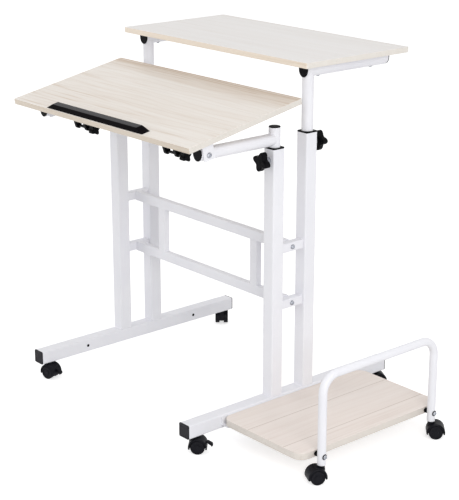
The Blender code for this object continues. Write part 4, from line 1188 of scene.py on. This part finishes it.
def castor_hood(place, trail, axle_z):
    """The hood around an axle that lies across X, ahead of the stem."""
    hood = bmesh.new()
    section = [(HOOD_RADIUS - HOOD_SHELL, -WHEEL_OUTER), (HOOD_RADIUS, -WHEEL_OUTER)]
    section += [(HOOD_RADIUS, WHEEL_OUTER), (HOOD_RADIUS - HOOD_SHELL, WHEEL_OUTER)]
    face = hood.faces.new([hood.verts.new((radius, y, 0.0)) for radius, y in section])
    bmesh.ops.rotate(hood, verts=hood.verts, matrix=Matrix.Rotation(radians(HOOD_LIP), 3, "Y"))
    about = {"cent": (0.0, 0.0, 0.0), "axis": (0.0, -1.0, 0.0), "angle": radians(180 + 2 * HOOD_LIP)}
    bmesh.ops.spin(hood, geom=[face], steps=34, **about)
    bmesh.ops.recalc_face_normals(hood, faces=hood.faces)
    outer = [e for e in hood.edges if all(v.co.xz.length > HOOD_RADIUS - NEAR for v in e.verts)]
    outer = [e for e in outer if all(abs(v.co.y) > WHEEL_OUTER - NEAR for v in e.verts)]
    rounded(hood, [e for e in outer if e.verts[0].co.y * e.verts[1].co.y > 0], HOOD_ROUND, 4)
    web = rod(HOOD_RADIUS - HOOD_SHELL / 2, -HOOD_WEB / 2, HOOD_WEB / 2, FACE_FRONT)
    cut = {"plane_co": (0.0, 0.0, -HOOD_WEB_CUT), "plane_no": (0.0, 0.0, -1.0), "clear_outer": True}
    bmesh.ops.bisect_plane(web, geom=web.verts[:] + web.edges[:] + web.faces[:], **cut)
    bmesh.ops.holes_fill(web, edges=web.edges, sides=40)
    axle = place @ at((trail, 0.0, axle_z))
    neck = CASTOR_TOP - 0.006
    boss = [(0.0, CASTOR_TOP), (HOOD_BOSS - 0.0008, CASTOR_TOP), (HOOD_BOSS, CASTOR_TOP - 0.0008)]
    boss += [(HOOD_BOSS, neck), (HOOD_BOSS + 0.0008, neck - 0.004), (HOOD_BOSS + 0.0008, axle_z)]
    return [placed(hood, axle), placed(web, axle), turned(boss + [(0.0, axle_z)], place)]


def castor_wheel(place, facing):
    """One wheel: rounded tread, a raised rim, a dished disc and a hub."""
    out = WHEEL_OUTER
    profile = [(0.0, WHEEL_INNER), (0.0185, WHEEL_INNER), (0.0195, WHEEL_INNER + 0.0004)]
    profile += [(WHEEL_RADIUS, WHEEL_INNER + 0.0014), (WHEEL_RADIUS, out - 0.0030)]
    profile += [(0.0197, out - 0.0016), (0.0188, out - 0.0006), (0.0174, out - 0.0001)]
    profile += [(0.0160, out), (0.0154, out - 0.0003)]
    profile += [(0.0150, out - 0.0016), (0.0100, out - 0.0021), (0.0078, out - 0.0018)]
    profile += [(0.0074, out - 0.0004), (0.0066, out), (0.0, out)]
    return turned(profile, place @ facing, 48)


def brake_pedal(place):
    """A short pedal that hinges on the front of a hood; its pin is at its place."""
    reach = BRAKE_PIN + BRAKE_LENGTH
    half = BRAKE_WIDTH / 2
    outline = [(-BRAKE_PIN, 0.0), (-0.0025, -0.0025), (0.0, -BRAKE_PIN)]
    outline += [(reach - BRAKE_THICKNESS, -BRAKE_PIN), (reach, -BRAKE_PIN - BRAKE_THICKNESS / 2)]
    outline += [(reach, BRAKE_THICKNESS - BRAKE_PIN)]
    outline += [(reach - BRAKE_THICKNESS, BRAKE_THICKNESS), (0.0018, 0.0030), (-0.0014, 0.0030)]
    pedal = prism([(x, -half, z) for x, z in outline], (0.0, BRAKE_WIDTH, 0.0))
    rounded(pedal, edges_at(pedal, Y, -half) + edges_at(pedal, Y, half), BRAKE_EDGE, 3)
    return placed(pedal, place @ Matrix.Rotation(radians(BRAKE_SLOPE), 4, "Y"))


for corner in CASTORS:
    stem = Vector(joints[f"castor_{corner}_swivel"]["pos_m"])
    axle = Vector(joints[f"wheels_{corner}_roll"]["pos_m"])
    ahead = (axle - stem).to_2d()
    heading = Matrix.Rotation(atan2(ahead.y, ahead.x), 4, "Z")
    place = at((stem.x, stem.y, 0.0)) @ heading
    body = "castor_" + corner
    hood = castor_hood(place, ahead.length, axle.z)
    moulded("hood_" + corner, hood, body, "castor_hood_" + corner, plastic=HOOD_PLASTIC)
    stem_pin = rod(STEM_RADIUS, CASTOR_TOP - STEM_SINK, CASTOR_TOP + STEM_GRIP, place, STEM_EDGE)
    plated("stem_" + corner, [stem_pin], body)
    at_axle = at(axle) @ heading
    wheels = [castor_wheel(at_axle, facing) for facing in (FACE_FRONT, FACE_BACK)]
    axle_half = WHEEL_INNER + AXLE_SINK
    wheels.append(rod(AXLE_RADIUS, -axle_half, axle_half, at_axle @ FACE_FRONT))
    node = "castor_wheels_" + corner
    piece("wheels_" + corner, wheels, [WHEEL_TREAD], "wheels_" + corner, "wheel_tread", node)
    if corner in BRAKED:
        pin = Vector(joints[f"brake_{corner}_press"]["pos_m"])
        pedal = [brake_pedal(at(pin) @ heading)]
        node = "brake_lever_" + corner
        moulded("pedal_" + corner, pedal, "brake_" + corner, node, plastic=HOOD_PLASTIC)


# Studio: a plain pale floor, a soft even surround and three large lamps. The camera stands where
# the photograph was taken from, in front of the desk and to its right.

CAMERA_PLACE = (2.9535, -2.6085, 1.7160)
CAMERA_HEIGHT_ANGLE = 17.7085
CAMERA_ROUND_ANGLE = 49.3193
CAMERA_LENS = 104.354
SURROUND_LIGHT = 0.70
FLOOR_GLOW = 0.62
FLOOR_GREY = (0.72, 0.72, 0.72, 1.0)
WHITE = (1.0, 1.0, 1.0, 1.0)
LAMP_AIM = Vector((0.0, 0.0, 0.55))
LAMPS = (
    ("key", (3.0, -1.3, 1.7), 1.8, 42.0),
    ("fill", (-2.6, -2.4, 1.8), 2.2, 22.0),
    ("top", (0.0, 0.2, 3.4), 2.0, 8.0),
)


def seen_directly(tree):
    """One for what the camera sees, straight or in a mirror or glass, and zero for light."""
    path = add_node(tree, "LightPath").outputs
    mirrored = reckon(tree, "MAXIMUM", path["Is Glossy Ray"], path["Is Transmission Ray"])
    return reckon(tree, "MAXIMUM", path["Is Camera Ray"], mirrored)


scene = bpy.context.scene
scene.view_settings.view_transform = "Standard"
world = bpy.data.worlds.new("studio")
world.use_nodes = True
scene.world = world
tree = world.node_tree
strength = ranged(tree, seen_directly(tree), 0.0, 1.0, SURROUND_LIGHT, 1.0)
surround = add_node(tree, "Background", {"Color": WHITE, "Strength": strength})
tree.links.new(surround.outputs[0], tree.nodes["World Output"].inputs["Surface"])

floor_mesh = bmesh.new()
bmesh.ops.create_grid(floor_mesh, x_segments=1, y_segments=1, size=12.0)
floor = stood("studio_floor", mesh_of("studio_floor", floor_mesh))
material, tree, shader, place = finish("studio_floor")
shader.inputs["Base Color"].default_value = FLOOR_GREY
shader.inputs["Roughness"].default_value = 0.9
shader.inputs["Specular IOR Level"].default_value = 0.0
strength = reckon(tree, "MULTIPLY", seen_directly(tree), FLOOR_GLOW)
glow = add_node(tree, "Emission", {"Color": WHITE, "Strength": strength})
both = add_node(tree, "AddShader", {0: shader.outputs[0], 1: glow.outputs[0]})
tree.links.new(both.outputs[0], tree.nodes["Material Output"].inputs["Surface"])
floor.data.materials.append(material)

for name, place, size, power in LAMPS:
    lamp = bpy.data.lights.new(name, "AREA")
    lamp.size = size
    lamp.energy = power
    stand = stood(name, lamp)
    stand.location = place
    stand.rotation_euler = (LAMP_AIM - Vector(place)).to_track_quat("-Z", "Y").to_euler()

lens = bpy.data.cameras.new("camera")
lens.lens = CAMERA_LENS
lens.sensor_width = 36.0
camera = stood("camera", lens)
camera.location = CAMERA_PLACE
camera.rotation_euler = (radians(90.0 - CAMERA_HEIGHT_ANGLE), 0.0, radians(CAMERA_ROUND_ANGLE))
scene.camera = camera
